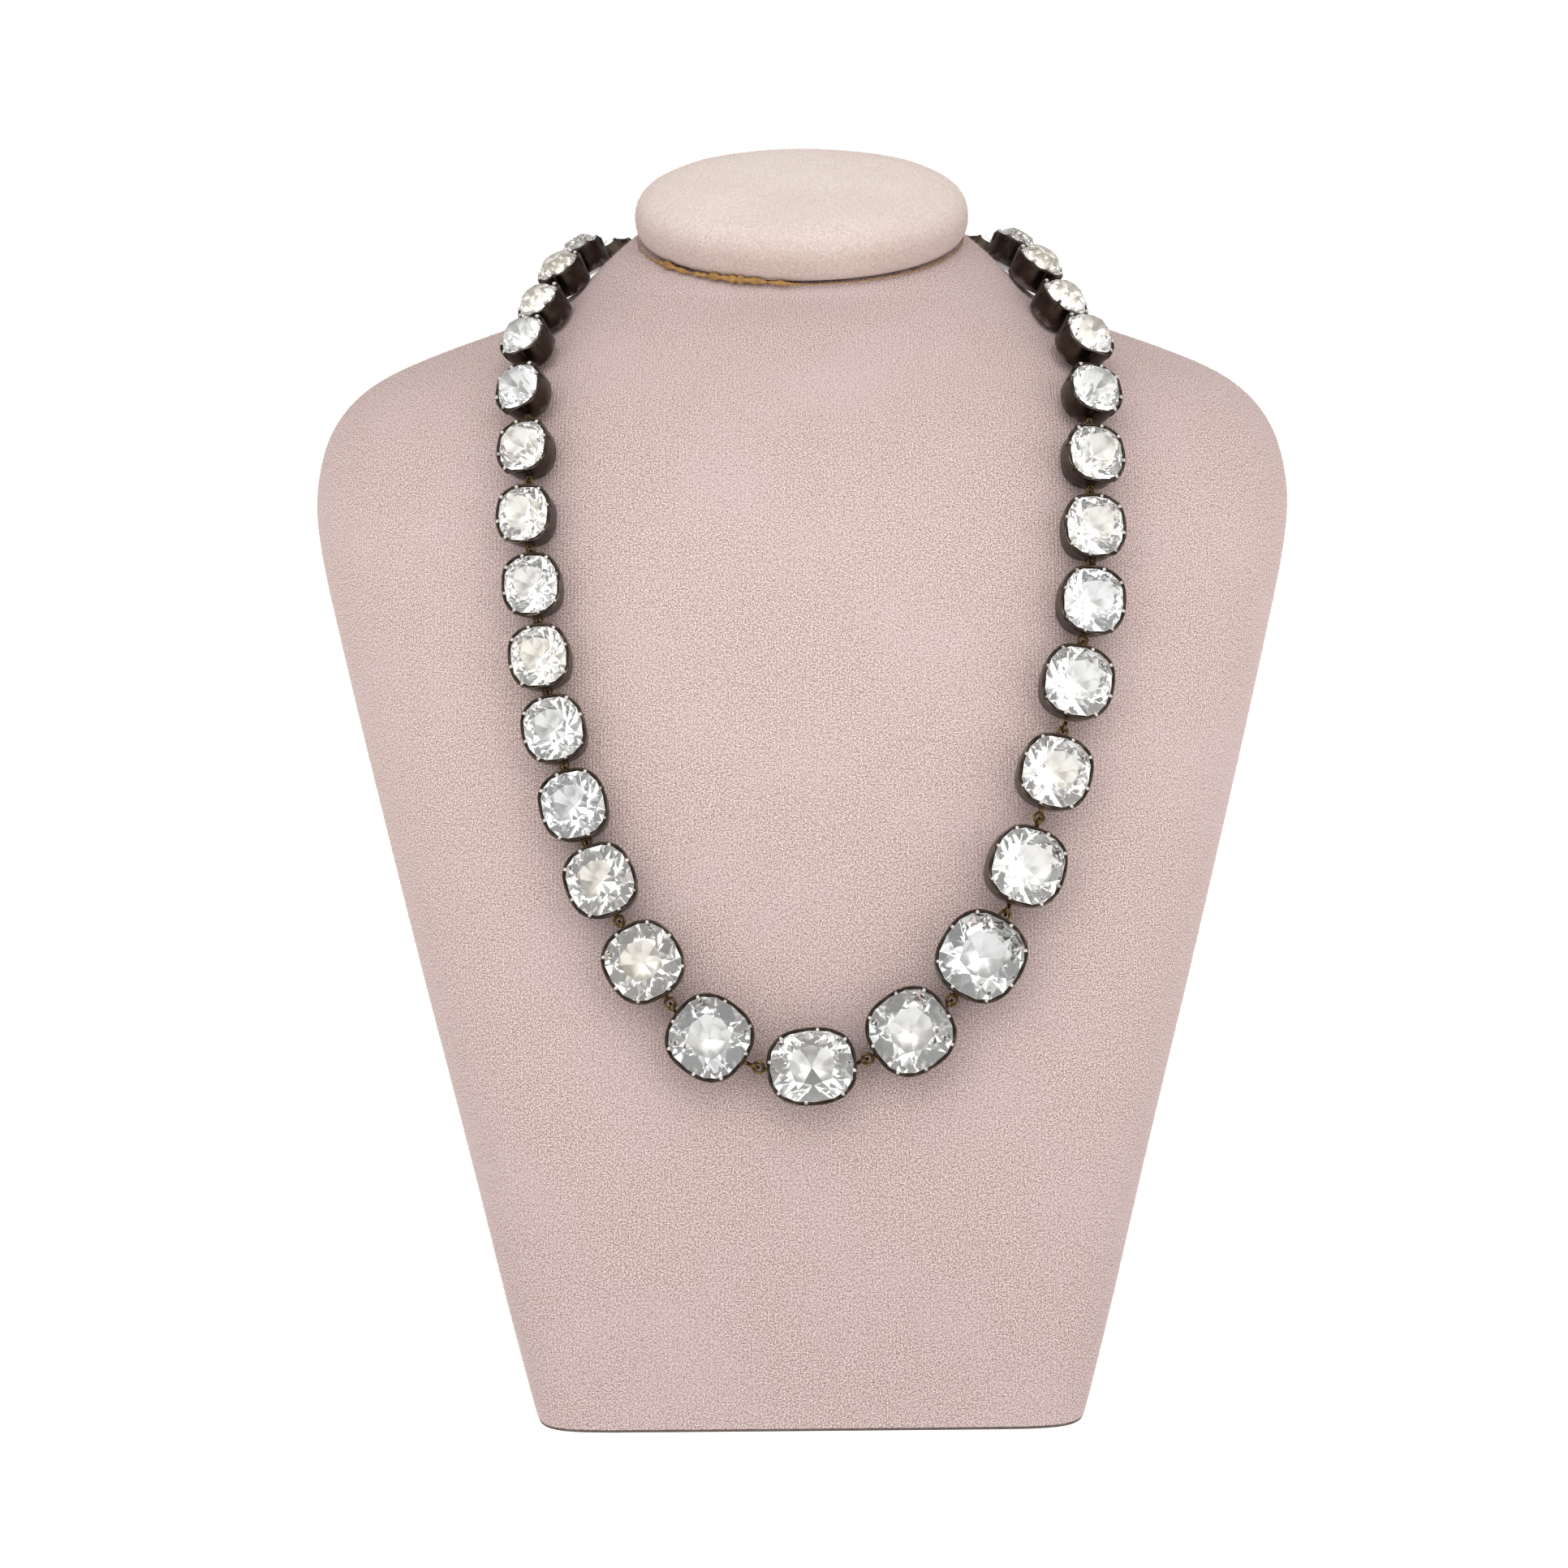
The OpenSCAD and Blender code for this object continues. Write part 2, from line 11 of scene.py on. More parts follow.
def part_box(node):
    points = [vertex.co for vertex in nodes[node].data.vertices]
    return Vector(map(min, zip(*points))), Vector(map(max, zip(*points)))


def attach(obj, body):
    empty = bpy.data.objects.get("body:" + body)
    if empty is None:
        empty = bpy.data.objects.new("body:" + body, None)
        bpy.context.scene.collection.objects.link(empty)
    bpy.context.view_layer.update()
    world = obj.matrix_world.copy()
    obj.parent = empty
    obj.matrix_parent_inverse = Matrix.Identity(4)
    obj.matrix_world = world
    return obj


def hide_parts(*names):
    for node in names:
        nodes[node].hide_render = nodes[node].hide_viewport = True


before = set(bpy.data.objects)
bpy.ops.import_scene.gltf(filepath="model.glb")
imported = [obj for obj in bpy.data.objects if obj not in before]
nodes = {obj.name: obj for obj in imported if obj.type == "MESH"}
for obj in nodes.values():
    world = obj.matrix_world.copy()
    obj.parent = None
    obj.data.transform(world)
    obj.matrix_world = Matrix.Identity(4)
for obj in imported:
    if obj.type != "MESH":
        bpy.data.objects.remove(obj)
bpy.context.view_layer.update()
MM = 0.001

# The photograph's view: a long lens about a metre away and a little above the
# cap looks 11 degrees down at the middle of the chest and leans half a degree.
VIEW_TARGET = Vector((-4.3, -14, 118)) * MM
VIEW_AWAY = 1064 * MM
VIEW_DOWN = math.radians(11)
VIEW_LEAN = math.radians(-0.5)
VIEW_LENS = 120

camera = bpy.data.objects.new("camera", bpy.data.cameras.new("camera"))
camera.data.lens = VIEW_LENS
camera.data.sensor_width = 36
camera.data.clip_start = 10 * MM
camera.matrix_world = (
    Matrix.Translation(VIEW_TARGET)
    @ Matrix.Rotation(math.pi / 2 - VIEW_DOWN, 4, "X")
    @ Matrix.Rotation(VIEW_LEAN, 4, "Z")
    @ Matrix.Translation((0, 0, VIEW_AWAY))
)
bpy.context.collection.objects.link(camera)
bpy.context.scene.camera = camera

# The studio: a light table in a bright room. Large soft boxes stand left and
# right of the camera and one hangs above it. The room's own light is uneven and
# it is dark round the lens, which gives the stones their grey facets.
TABLE_SIZE = 16
ROOM_BRIGHT = 0.9
ROOM_DIM = 0.38
ROOM_PATCHES = 1.6
ROOM_FRONT = 1.25
ROOM_BACK = 0.72
FRONT_ANGLE = math.radians(38)
BACK_ANGLE = math.radians(95)
LENS_DARK = 0.28
LENS_HALF_ANGLE = math.radians(16)
LENS_SOFTNESS = math.radians(12)
BOXES = [
    # name, middle in metres, width, height, watts
    ("box_left", (-1.45, -1.20, 0.95), 1.8, 1.8, 9.0),
    ("box_right", (1.50, -1.20, 0.80), 1.7, 1.7, 6.6),
    ("box_above", (0.00, -0.70, 1.85), 2.3, 1.7, 16.8),
]
BOX_AIM = Vector((0, -10, 120)) * MM


def linear(hex_colour):
    """An sRGB hex colour as linear red, green, blue and alpha."""
    parts = [int(hex_colour[i : i + 2], 16) / 255 for i in (1, 3, 5)]
    return [c / 12.92 if c < 0.04045 else ((c + 0.055) / 1.055) ** 2.4 for c in parts] + [1]


def add(tree, kind, inputs=None, **settings):
    """Adds a node with its settings; an input is given a value or another node's output."""
    made = tree.nodes.new("ShaderNode" + kind)
    for name, value in settings.items():
        setattr(made, name, value)
    for socket, value in (inputs or {}).items():
        if isinstance(value, bpy.types.NodeSocket):
            tree.links.new(value, made.inputs[socket])
        else:
            made.inputs[socket].default_value = value
    return made


def new_material(name):
    """An empty material and its node tree, ready for a Principled shader."""
    material = bpy.data.materials.new(name)
    material.use_nodes = True
    material.node_tree.nodes.clear()
    return material, material.node_tree


def finish_material(tree, shader):
    add(tree, "OutputMaterial", {"Surface": shader.outputs[0]})


def place_piece(bm, name, materials):
    """Makes a bmesh an object at the origin, smooth, with its materials."""
    mesh = bpy.data.meshes.new(name)
    bm.to_mesh(mesh)
    bm.free()
    mesh.shade_smooth()
    for material in materials:
        mesh.materials.append(material)
    piece = bpy.data.objects.new(name, mesh)
    bpy.context.collection.objects.link(piece)
    return piece


# Opal acrylic lit from below: the ground burns out to an even white, as in the
# photograph, and a faint tooth keeps the sheet from being perfectly blank.
opal, tree = new_material("lit_opal_acrylic")
where = add(tree, "TexCoord").outputs["Object"]
tooth = add(tree, "TexNoise", {"Vector": where, "Scale": 900, "Detail": 3})
shade = add(
    tree,
    "Mix",
    {0: tooth.outputs["Fac"], 6: linear("#9c9c9c"), 7: linear("#a6a6a6")},
    data_type="RGBA",
)
shader = add(
    tree,
    "BsdfPrincipled",
    {
        "Base Color": shade.outputs[2],
        "Roughness": 0.9,
        "Specular IOR Level": 0.2,
        "Emission Color": linear("#ffffff"),
        "Emission Strength": 0.92,
    },
)
finish_material(tree, shader)
bm = bmesh.new()
bmesh.ops.create_grid(bm, x_segments=1, y_segments=1, size=TABLE_SIZE / 2)
place_piece(bm, "table_top", [opal])

for name, middle, width, height, watts in BOXES:
    light = bpy.data.lights.new(name, "AREA")
    light.shape = "RECTANGLE"
    light.size, light.size_y, light.energy = width, height, watts
    box = bpy.data.objects.new(name, light)
    toward = (BOX_AIM - Vector(middle)).to_track_quat("-Z", "Y").to_matrix().to_4x4()
    box.matrix_world = Matrix.Translation(middle) @ toward
    bpy.context.collection.objects.link(box)

# The room: soft patches of brighter and dimmer wall, with no picture on them
world = bpy.data.worlds.new("bright_room")
world.use_nodes = True
world.node_tree.nodes.clear()
bpy.context.scene.world = world
lens_way = Vector((0, -math.cos(VIEW_DOWN), math.sin(VIEW_DOWN)))
ray = add(world.node_tree, "TexCoord").outputs["Generated"]
facing = add(
    world.node_tree, "VectorMath", {0: ray, 1: lens_way}, operation="DOT_PRODUCT"
)
patches = add(
    world.node_tree, "TexNoise", {"Vector": ray, "Scale": ROOM_PATCHES, "Detail": 1}
)
room = add(
    world.node_tree,
    "MapRange",
    {
        "Value": patches.outputs["Fac"],
        "From Min": 0.38,
        "From Max": 0.62,
        "To Min": ROOM_DIM,
        "To Max": ROOM_BRIGHT,
    },
)
# The wall behind the camera is the brightest, so the shadows stay close and soft
depth = add(
    world.node_tree,
    "MapRange",
    {
        "Value": facing.outputs["Value"],
        "From Min": math.cos(BACK_ANGLE),
        "From Max": math.cos(FRONT_ANGLE),
        "To Min": ROOM_BACK,
        "To Max": ROOM_FRONT,
    },
)
lit_room = add(
    world.node_tree,
    "Math",
    {0: room.outputs["Result"], 1: depth.outputs["Result"]},
    operation="MULTIPLY",
)
opening = add(
    world.node_tree,
    "MapRange",
    {
        "Value": facing.outputs["Value"],
        "From Min": math.cos(LENS_HALF_ANGLE + LENS_SOFTNESS),
        "From Max": math.cos(LENS_HALF_ANGLE),
        "To Min": lit_room.outputs[0],
        "To Max": LENS_DARK,
    },
    interpolation_type="SMOOTHSTEP",
)
background = add(
    world.node_tree,
    "Background",
    {"Color": linear("#fffdfb"), "Strength": opening.outputs["Result"]},
)
add(world.node_tree, "OutputWorld", {"Surface": background.outputs[0]})
bpy.context.scene.view_settings.view_transform = "Standard"
# Light goes through a foiled stone and back many times before it comes out
for bounces in ("max_bounces", "glossy_bounces", "transmission_bounces"):
    setattr(bpy.context.scene.cycles, bounces, 24)

# The bust's body: a stiff form under one stretched sleeve of velour, a knitted
# fabric with a short cut pile. It is drawn tight from the foot to the neck's
# cut and turned under at both ends.
SLEEVE_THICK = 0.5 * MM
FOOT_EDGE_ROUND = 0.3 * MM
# The thickness of the foot's dark card, a sheet of painted shadow
SHADOW_CARD_THICK = 0.5 * MM
CUT_EDGE_ROUND = 1.6 * MM
JOIN = 0.002 * MM
# The real wales are 0.43 mm apart, too fine for the render, so they are drawn
# at 0.75 mm. The pile's own grain is drawn at 0.27 mm for the same reason.
WALE = 0.75 * MM
PILE_GRAIN = 0.27 * MM
FLECK = 0.5 * MM
HANDLING_MARK = 28 * MM


def merged_copy(node):
    """A CAD node's mesh in a new bmesh, with the corners of its triangles joined."""
    bm = bmesh.new()
    bm.from_mesh(nodes[node].data)
    bmesh.ops.remove_doubles(bm, verts=bm.verts, dist=JOIN)
    return bm


def rings_from_foot(bm):
    """The corners of the body ring by ring from the foot up, each ring in the same order round."""
    foot = [v for v in bm.verts if v.co.z < JOIN]
    middle = sum((v.co for v in foot), Vector()) / len(foot)
    foot.sort(key=lambda v: math.atan2(v.co.y - middle.y, v.co.x - middle.x))
    rings, seen = [foot], set(foot)
    while True:
        side = {v: i for i, v in enumerate(rings[-1])}
        above = {}
        for v in {e.other_vert(v) for v in rings[-1] for e in v.link_edges} - seen:
            # Each corner stands on one of the ring below and leans on the one before it
            under = {side[u] for u in (e.other_vert(v) for e in v.link_edges) if u in side}
            above[next(i for i in under if (i - 1) % len(foot) in under)] = v
        if not above:
            return rings
        rings.append([above[i] for i in range(len(foot))])
        seen.update(rings[-1])


bm = merged_copy("bust_body")
rings = rings_from_foot(bm)
sides = len(rings[0])
place = {v: (k, i) for k, ring in enumerate(rings) for i, v in enumerate(ring)}
diagonals = [
    e
    for e in bm.edges
    if place[e.verts[0]][0] != place[e.verts[1]][0]
    and place[e.verts[0]][1] != place[e.verts[1]][1]
]
bmesh.ops.dissolve_edges(bm, edges=diagonals)
for ring in (rings[0], rings[-1]):
    ends = [f for f in bm.faces if all(v in ring for v in f.verts)]
    bmesh.ops.dissolve_faces(bm, faces=ends)

# The sleeve's own map is in metres: up the body, and round each ring both ways
# from the middle of the front, so that the wales stand upright there. Its seam
# is at the back.
climb = [0.0]
for low, high in zip(rings, rings[1:]):
    climb.append(climb[-1] + sum((a.co - b.co).length for a, b in zip(low, high)) / sides)
seam = max(range(sides), key=lambda i: rings[0][i].co.y - abs(rings[0][i].co.x))
rounds = []
for ring in rings:
    turned = ring[seam:] + ring[: seam + 1]
    run = [0.0]
    for a, b in zip(turned, turned[1:]):
        run.append(run[-1] + (a.co - b.co).length)
    rounds.append([r - run[sides // 2] for r in run])
sleeve_map = bm.loops.layers.uv.new("sleeve")
for face in bm.faces:
    turns = [(place[loop.vert][1] - seam) % sides for loop in face.loops]
    for loop, turn in zip(face.loops, turns):
        if turn == 0 and sides - 1 in turns:
            turn = sides
        k = place[loop.vert][0]
        loop[sleeve_map].uv = (rounds[k][turn], climb[k])
foot_outline = [v.co.copy() for v in rings[0]]
cut_middle = sum((v.co for v in rings[-1]), Vector()) / sides
cut_across = rings[-1][sides // 2].co - rings[-1][0].co
cut_back = rings[-1][3 * sides // 4].co - rings[-1][sides // 4].co
bm.normal_update()
for ring in rings[:-1]:
    for v in ring:
        v.co += Vector((v.normal.x, v.normal.y, 0)) * SLEEVE_THICK
for v in rings[0]:
    v.co.z = SHADOW_CARD_THICK
for ring, edge_round in ((rings[0], FOOT_EDGE_ROUND), (rings[-1], CUT_EDGE_ROUND)):
    rim = [e for e in bm.edges if e.verts[0] in ring and e.verts[1] in ring]
    bmesh.ops.bevel(
        bm,
        geom=rim,
        offset=edge_round,
        offset_type="OFFSET",
        affect="EDGES",
        segments=2,
        profile=0.5,
        material=-1,
    )

# Dusty rose polyester velour: matt, with a soft bloom where the pile is seen
# from the side, fine upright wales, dark and red flecks between the tufts, and
# paler and cooler marks where hands have laid the pile.
velour, tree = new_material("knitted_velour")
cloth = add(tree, "UVMap", uv_map="sleeve").outputs["UV"]
wales = add(
    tree,
    "TexWave",
    {"Vector": cloth, "Scale": math.pi / 10 / WALE, "Distortion": 1.2, "Detail": 1},
    wave_type="BANDS",
    bands_direction="X",
    wave_profile="SIN",
)
grain = add(tree, "TexNoise", {"Vector": cloth, "Scale": 1 / PILE_GRAIN, "Detail": 1})
flecks = add(tree, "TexNoise", {"Vector": cloth, "Scale": 1 / FLECK, "Detail": 0})
marks = add(tree, "TexNoise", {"Vector": cloth, "Scale": 1 / HANDLING_MARK, "Detail": 2})
tuft_tone = add(
    tree,
    "MapRange",
    {"Value": grain.outputs["Fac"], "From Min": 0.41, "From Max": 0.6},
)
ground = add(
    tree,
    "Mix",
    {0: tuft_tone.outputs["Result"], 6: linear("#9b7e79"), 7: linear("#f0dfda")},
    data_type="RGBA",
)
wale_tone = add(
    tree,
    "MapRange",
    {"Value": wales.outputs["Fac"], "To Min": 0.0, "To Max": 0.2},
)
ribbed = add(
    tree,
    "Mix",
    {0: wale_tone.outputs["Result"], 6: ground.outputs[2], 7: linear("#b39690")},
    data_type="RGBA",
)
laid_tone = add(
    tree,
    "MapRange",
    {"Value": marks.outputs["Fac"], "From Min": 0.45, "From Max": 0.75, "To Max": 0.35},
)
laid_pile = add(
    tree,
    "Mix",
    {0: laid_tone.outputs["Result"], 6: ribbed.outputs[2], 7: linear("#d1bdc0")},
    data_type="RGBA",
)
# Painted shade: the cloth's colour is darkened towards the foot and round the neck below the cap,
# where less light reaches the bust
height = add(tree, "SeparateXYZ", {0: add(tree, "TexCoord").outputs["Object"]}).outputs["Z"]
foot_shade = add(
    tree,
    "MapRange",
    {"Value": height, "From Min": 130 * MM, "From Max": 10 * MM, "To Max": 0.45},
)
neck_shade = add(
    tree,
    "MapRange",
    {"Value": height, "From Min": 170 * MM, "From Max": 215 * MM, "To Max": 0.35},
)
painted_shade = add(
    tree,
    "Math",
    {0: foot_shade.outputs["Result"], 1: neck_shade.outputs["Result"]},
    operation="ADD",
)
# The painted shade at the foot and the neck is multiplied into the cloth's colour here
shaded_cloth = add(
    tree,
    "Mix",
    {0: painted_shade.outputs[0], 6: laid_pile.outputs[2], 7: linear("#dddde2")},
    data_type="RGBA",
    blend_type="MULTIPLY",
)
fleck_tone = add(
    tree,
    "MapRange",
    {"Value": flecks.outputs["Fac"], "From Min": 0.68, "From Max": 0.78, "To Max": 0.55},
)
flecked = add(
    tree,
    "Mix",
    {0: fleck_tone.outputs["Result"], 6: shaded_cloth.outputs[2], 7: linear("#8a5f5c")},
    data_type="RGBA",
)
tufts = add(tree, "Bump", {"Strength": 0.3, "Distance": 0.1 * MM, "Height": grain.outputs["Fac"]})
nap = add(
    tree,
    "Bump",
    {
        "Strength": 0.35,
        "Distance": 0.15 * MM,
        "Height": wales.outputs["Fac"],
        "Normal": tufts.outputs["Normal"],
    },
)
shader = add(
    tree,
    "BsdfPrincipled",
    {
        "Base Color": flecked.outputs[2],
        "Roughness": 0.95,
        "Specular IOR Level": 0.15,
        "Sheen Weight": 0.25,
        "Sheen Roughness": 0.45,
        "Sheen Tint": linear("#f4e6e2"),
        "Normal": nap.outputs["Normal"],
    },
)
finish_material(tree, shader)

sleeve = place_piece(bm, "bust_sleeve", [velour])
rounding = sleeve.modifiers.new("rounding", "SUBSURF")
rounding.levels = rounding.render_levels = 2
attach(sleeve, "root")
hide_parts("bust_body")

# The foot's card: a stiff grey board glued over the sleeve's turned-under edge. It is a dark sheet
# of painted shadow: its dark cut edge shows as a thin line under the velour, where the foot's
# contact shadow would be.
CARD_INTO_SLEEVE = 0.1 * MM
bm = bmesh.new()
card_edge = [bm.verts.new((at.x, at.y, 0)) for at in foot_outline]
card_face = bm.faces.new(card_edge)
raised = bmesh.ops.extrude_face_region(bm, geom=[card_face])["geom"]
raised = [g for g in raised if isinstance(g, bmesh.types.BMVert)]
bmesh.ops.translate(bm, vec=(0, 0, SHADOW_CARD_THICK + CARD_INTO_SLEEVE), verts=raised)
bmesh.ops.recalc_face_normals(bm, faces=bm.faces)

# Painted shadow: a dark grey board with a mottle of pressed paper fibres, so that its edge reads
# as the foot's contact shadow
card_shadow_material, tree = new_material("grey_board_painted_shadow")
where = add(tree, "TexCoord").outputs["Object"]
fibres = add(tree, "TexNoise", {"Vector": where, "Scale": 1 / (0.8 * MM), "Detail": 4})
card_shadow_tone = add(
    tree,
    "Mix",
    {0: fibres.outputs["Fac"], 6: linear("#3c3431"), 7: linear("#7a6c66")},
    data_type="RGBA",
)
shader = add(tree, "BsdfPrincipled", {"Base Color": card_shadow_tone.outputs[2], "Roughness": 0.85})
finish_material(tree, shader)
foot_shadow_card = place_piece(bm, "foot_shadow_card", [card_shadow_material])
foot_shadow_card.data.shade_flat()
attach(foot_shadow_card, "root")

# The sleeve's loose pile: the longer polyester hairs that stand out of the
# velour. They lean every way, and they soften the bust's outline.
PILE_SEED = 7
PILE_PER_AREA = 1.0 / MM**2
PILE_LENGTH = (0.35 * MM, 0.95 * MM)
PILE_WIDTH = 0.07 * MM
PILE_LEAN = 0.9
BARE_FOOT = 2 * MM


def raise_pile(cloth_piece, bare, seed, per_area, lengths):
    """Hairs of one thin triangle each, strewn over a piece's finished surface."""
    scatter = random.Random(seed)
    finished = cloth_piece.evaluated_get(bpy.context.evaluated_depsgraph_get())
    surface = finished.to_mesh()
    bm = bmesh.new()
    for face in surface.polygons:
        if bare(face):
            continue
        corners = [surface.vertices[i].co for i in face.vertices]
        count = face.area * per_area + scatter.random()
        for _ in range(int(count)):
            u, v = scatter.random(), scatter.random()
            low, high = corners[0].lerp(corners[1], u), corners[-1].lerp(corners[2], u)
            root = low.lerp(high, v)
            lean = Vector([scatter.gauss(0, 1) for _ in range(3)])
            way = (face.normal + PILE_LEAN * lean.normalized()).normalized()
            tip = root + way * scatter.uniform(*lengths)
            side = way.cross(lean).normalized() * PILE_WIDTH / 2
            bm.faces.new([bm.verts.new(at) for at in (root - side, root + side, tip)])
    finished.to_mesh_clear()
    return bm


# Loose polyester hairs, paler than the cloth because light goes through them
hair, tree = new_material("velour_hair")
where = add(tree, "TexCoord").outputs["Object"]
lot = add(tree, "TexNoise", {"Vector": where, "Scale": 1 / PILE_GRAIN, "Detail": 0})
hair_tone = add(
    tree,
    "Mix",
    {0: lot.outputs["Fac"], 6: linear("#cdb0aa"), 7: linear("#f0dfda")},
    data_type="RGBA",
)
shader = add(
    tree,
    "BsdfPrincipled",
    {"Base Color": hair_tone.outputs[2], "Roughness": 0.9, "Specular IOR Level": 0.1},
)
finish_material(tree, shader)
bm = raise_pile(
    sleeve,
    lambda face: face.normal.z < -0.5 or face.center.z < BARE_FOOT,
    PILE_SEED,
    PILE_PER_AREA,
    PILE_LENGTH,
)
sleeve_pile = place_piece(bm, "sleeve_pile", [hair])
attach(sleeve_pile, "root")

# The cap: a disc of foam covered in the same family of velour, paler, with its
# pile brushed up, and glued on the neck's sloping cut, a hair to the right. Its
# edge is full and round, and the top swells a little in the middle.
CAP_STEPS = 72
CAP_PROFILE = [
    (0, 0.25), (16, 0.25), (27, 0.2), (31.8, 0.15), (33.6, 0.9), (34.5, 3.2),
    (34.6, 6.2), (33.5, 9.2), (30.6, 11.2), (25, 12.3), (14, 13.1), (0, 13.4),
]
CAP_ASIDE = 0.4 * MM
CAP_LUMP = 0.16 * MM
CAP_LUMP_SIZE = 11 * MM
CAP_FLAT_UNDER = 1 * MM
CAP_GRAIN = 0.45 * MM

cut_x = cut_across.normalized()
cut_up = cut_x.cross(cut_back).normalized()
cut_y = cut_up.cross(cut_x)
on_cut = Matrix((cut_x, cut_y, cut_up)).transposed().to_4x4()
on_cut.translation = cut_middle

bm = bmesh.new()
profile = [bm.verts.new((r * MM, 0, z * MM)) for r, z in CAP_PROFILE]
line = [bm.edges.new(pair) for pair in zip(profile, profile[1:])]
bmesh.ops.spin(
    bm,
    geom=profile + line,
    cent=(0, 0, 0),
    axis=(0, 0, 1),
    angle=2 * math.pi,
    steps=CAP_STEPS,
    use_merge=True,
)
bmesh.ops.remove_doubles(bm, verts=bm.verts, dist=JOIN)
bmesh.ops.recalc_face_normals(bm, faces=bm.faces)
bm.normal_update()
for v in bm.verts:
    if v.co.z > CAP_FLAT_UNDER:
        v.co += v.normal * CAP_LUMP * noise.noise(v.co / CAP_LUMP_SIZE)
bmesh.ops.transform(bm, matrix=on_cut, verts=bm.verts)
bmesh.ops.translate(bm, vec=cut_x * CAP_ASIDE, verts=bm.verts)

# Cream rose polyester velour: shorter loops than the body's, almost no wales
brushed, tree = new_material("brushed_velour")
where = add(tree, "TexCoord").outputs["Object"]
loops = add(tree, "TexNoise", {"Vector": where, "Scale": 1 / CAP_GRAIN, "Detail": 3})
soil = add(tree, "TexNoise", {"Vector": where, "Scale": 1 / HANDLING_MARK, "Detail": 3})
loop_tone = add(
    tree,
    "MapRange",
    {"Value": loops.outputs["Fac"], "From Min": 0.3, "From Max": 0.7},
)
cream = add(
    tree,
    "Mix",
    {0: loop_tone.outputs["Result"], 6: linear("#d4c3bb"), 7: linear("#f2e8e1")},
    data_type="RGBA",
)
soiled = add(
    tree,
    "MapRange",
    {"Value": soil.outputs["Fac"], "From Min": 0.4, "From Max": 0.75, "To Max": 0.3},
)
cream_soiled = add(
    tree,
    "Mix",
    {0: soiled.outputs["Result"], 6: cream.outputs[2], 7: linear("#cdb7b1")},
    data_type="RGBA",
)
# Painted shade: round its lower edge, which faces down, the cap's colour is made darker and pinker
rise = add(tree, "VectorMath", {0: where, 1: cut_up}, operation="DOT_PRODUCT")
cut_level = cut_middle.dot(cut_up)
rim_shade = add(
    tree,
    "MapRange",
    {
        "Value": rise.outputs["Value"],
        "From Min": cut_level + 12.5 * MM,
        "From Max": cut_level + 5 * MM,
        "To Max": 0.9,
    },
)
# The painted shade of the lower edge is multiplied into the cap's colour here
shaded_cap_cloth = add(
    tree,
    "Mix",
    {0: rim_shade.outputs["Result"], 6: cream_soiled.outputs[2], 7: linear("#d8cccb")},
    data_type="RGBA",
    blend_type="MULTIPLY",
)
pile = add(tree, "Bump", {"Strength": 0.6, "Distance": 0.2 * MM, "Height": loops.outputs["Fac"]})
shader = add(
    tree,
    "BsdfPrincipled",
    {
        "Base Color": shaded_cap_cloth.outputs[2],
        "Roughness": 0.95,
        "Specular IOR Level": 0.15,
        "Sheen Weight": 0.2,
        "Sheen Roughness": 0.5,
        "Sheen Tint": linear("#fbf3ec"),
        "Normal": pile.outputs["Normal"],
    },
)
finish_material(tree, shader)

cap = place_piece(bm, "bust_cap_pad", [brushed])
rounding = cap.modifiers.new("rounding", "SUBSURF")
rounding.levels = rounding.render_levels = 1
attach(cap, "root")
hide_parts("bust_cap")

# The cap's loose pile: polyester hairs like the sleeve's, brushed up, shorter,
# thicker set and paler. The side that is glued down has none.
CAP_PILE_PER_AREA = 2.4 / MM**2
CAP_PILE_LENGTH = (0.3 * MM, 0.7 * MM)
fluff, tree = new_material("cap_hair")
where = add(tree, "TexCoord").outputs["Object"]
lot = add(tree, "TexNoise", {"Vector": where, "Scale": 1 / CAP_GRAIN, "Detail": 0})
fluff_tone = add(
    tree,
    "Mix",
    {0: lot.outputs["Fac"], 6: linear("#d6c3ba"), 7: linear("#f3e9e2")},
    data_type="RGBA",
)
shader = add(
    tree,
    "BsdfPrincipled",
    {"Base Color": fluff_tone.outputs[2], "Roughness": 0.9, "Specular IOR Level": 0.1},
)
finish_material(tree, shader)
bm = raise_pile(
    cap,
    lambda face: face.normal.dot(cut_up) < -0.3,
    PILE_SEED,
    CAP_PILE_PER_AREA,
    CAP_PILE_LENGTH,
)
cap_pile = place_piece(bm, "cap_pile", [fluff])
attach(cap_pile, "root")

# The glue under the cap: contact adhesive, squeezed out along the seam and gone
# brown. It shows as a ragged bead at the front, thick to the left of the middle
# and a hair line to the right.
GLUE_STEPS = 360
GLUE_RING = 33.8 * MM
GLUE_LIFT = 0.45
GLUE_RAGGED = 1.3 * MM
GLUE_UNEVEN = 1.1
GLUE_BEAD = [
    # degrees round from the right-hand side, thickness in mm
    (-180, 0.15), (-165, 0.3), (-150, 1.1), (-141, 0.7), (-128, 1.3), (-112, 1.45),
    (-103, 0.7), (-96, 0.3), (-80, 0.22), (-40, 0.25), (-15, 0.2), (180, 0.12),
]


def glue_thickness(turn):
    """The bead's thickness at a turn in degrees, on straight lines through its table."""
    for (from_turn, from_size), (to_turn, to_size) in zip(GLUE_BEAD, GLUE_BEAD[1:]):
        if from_turn <= turn <= to_turn:
            part = (turn - from_turn) / (to_turn - from_turn)
            return (from_size + (to_size - from_size) * part) * MM


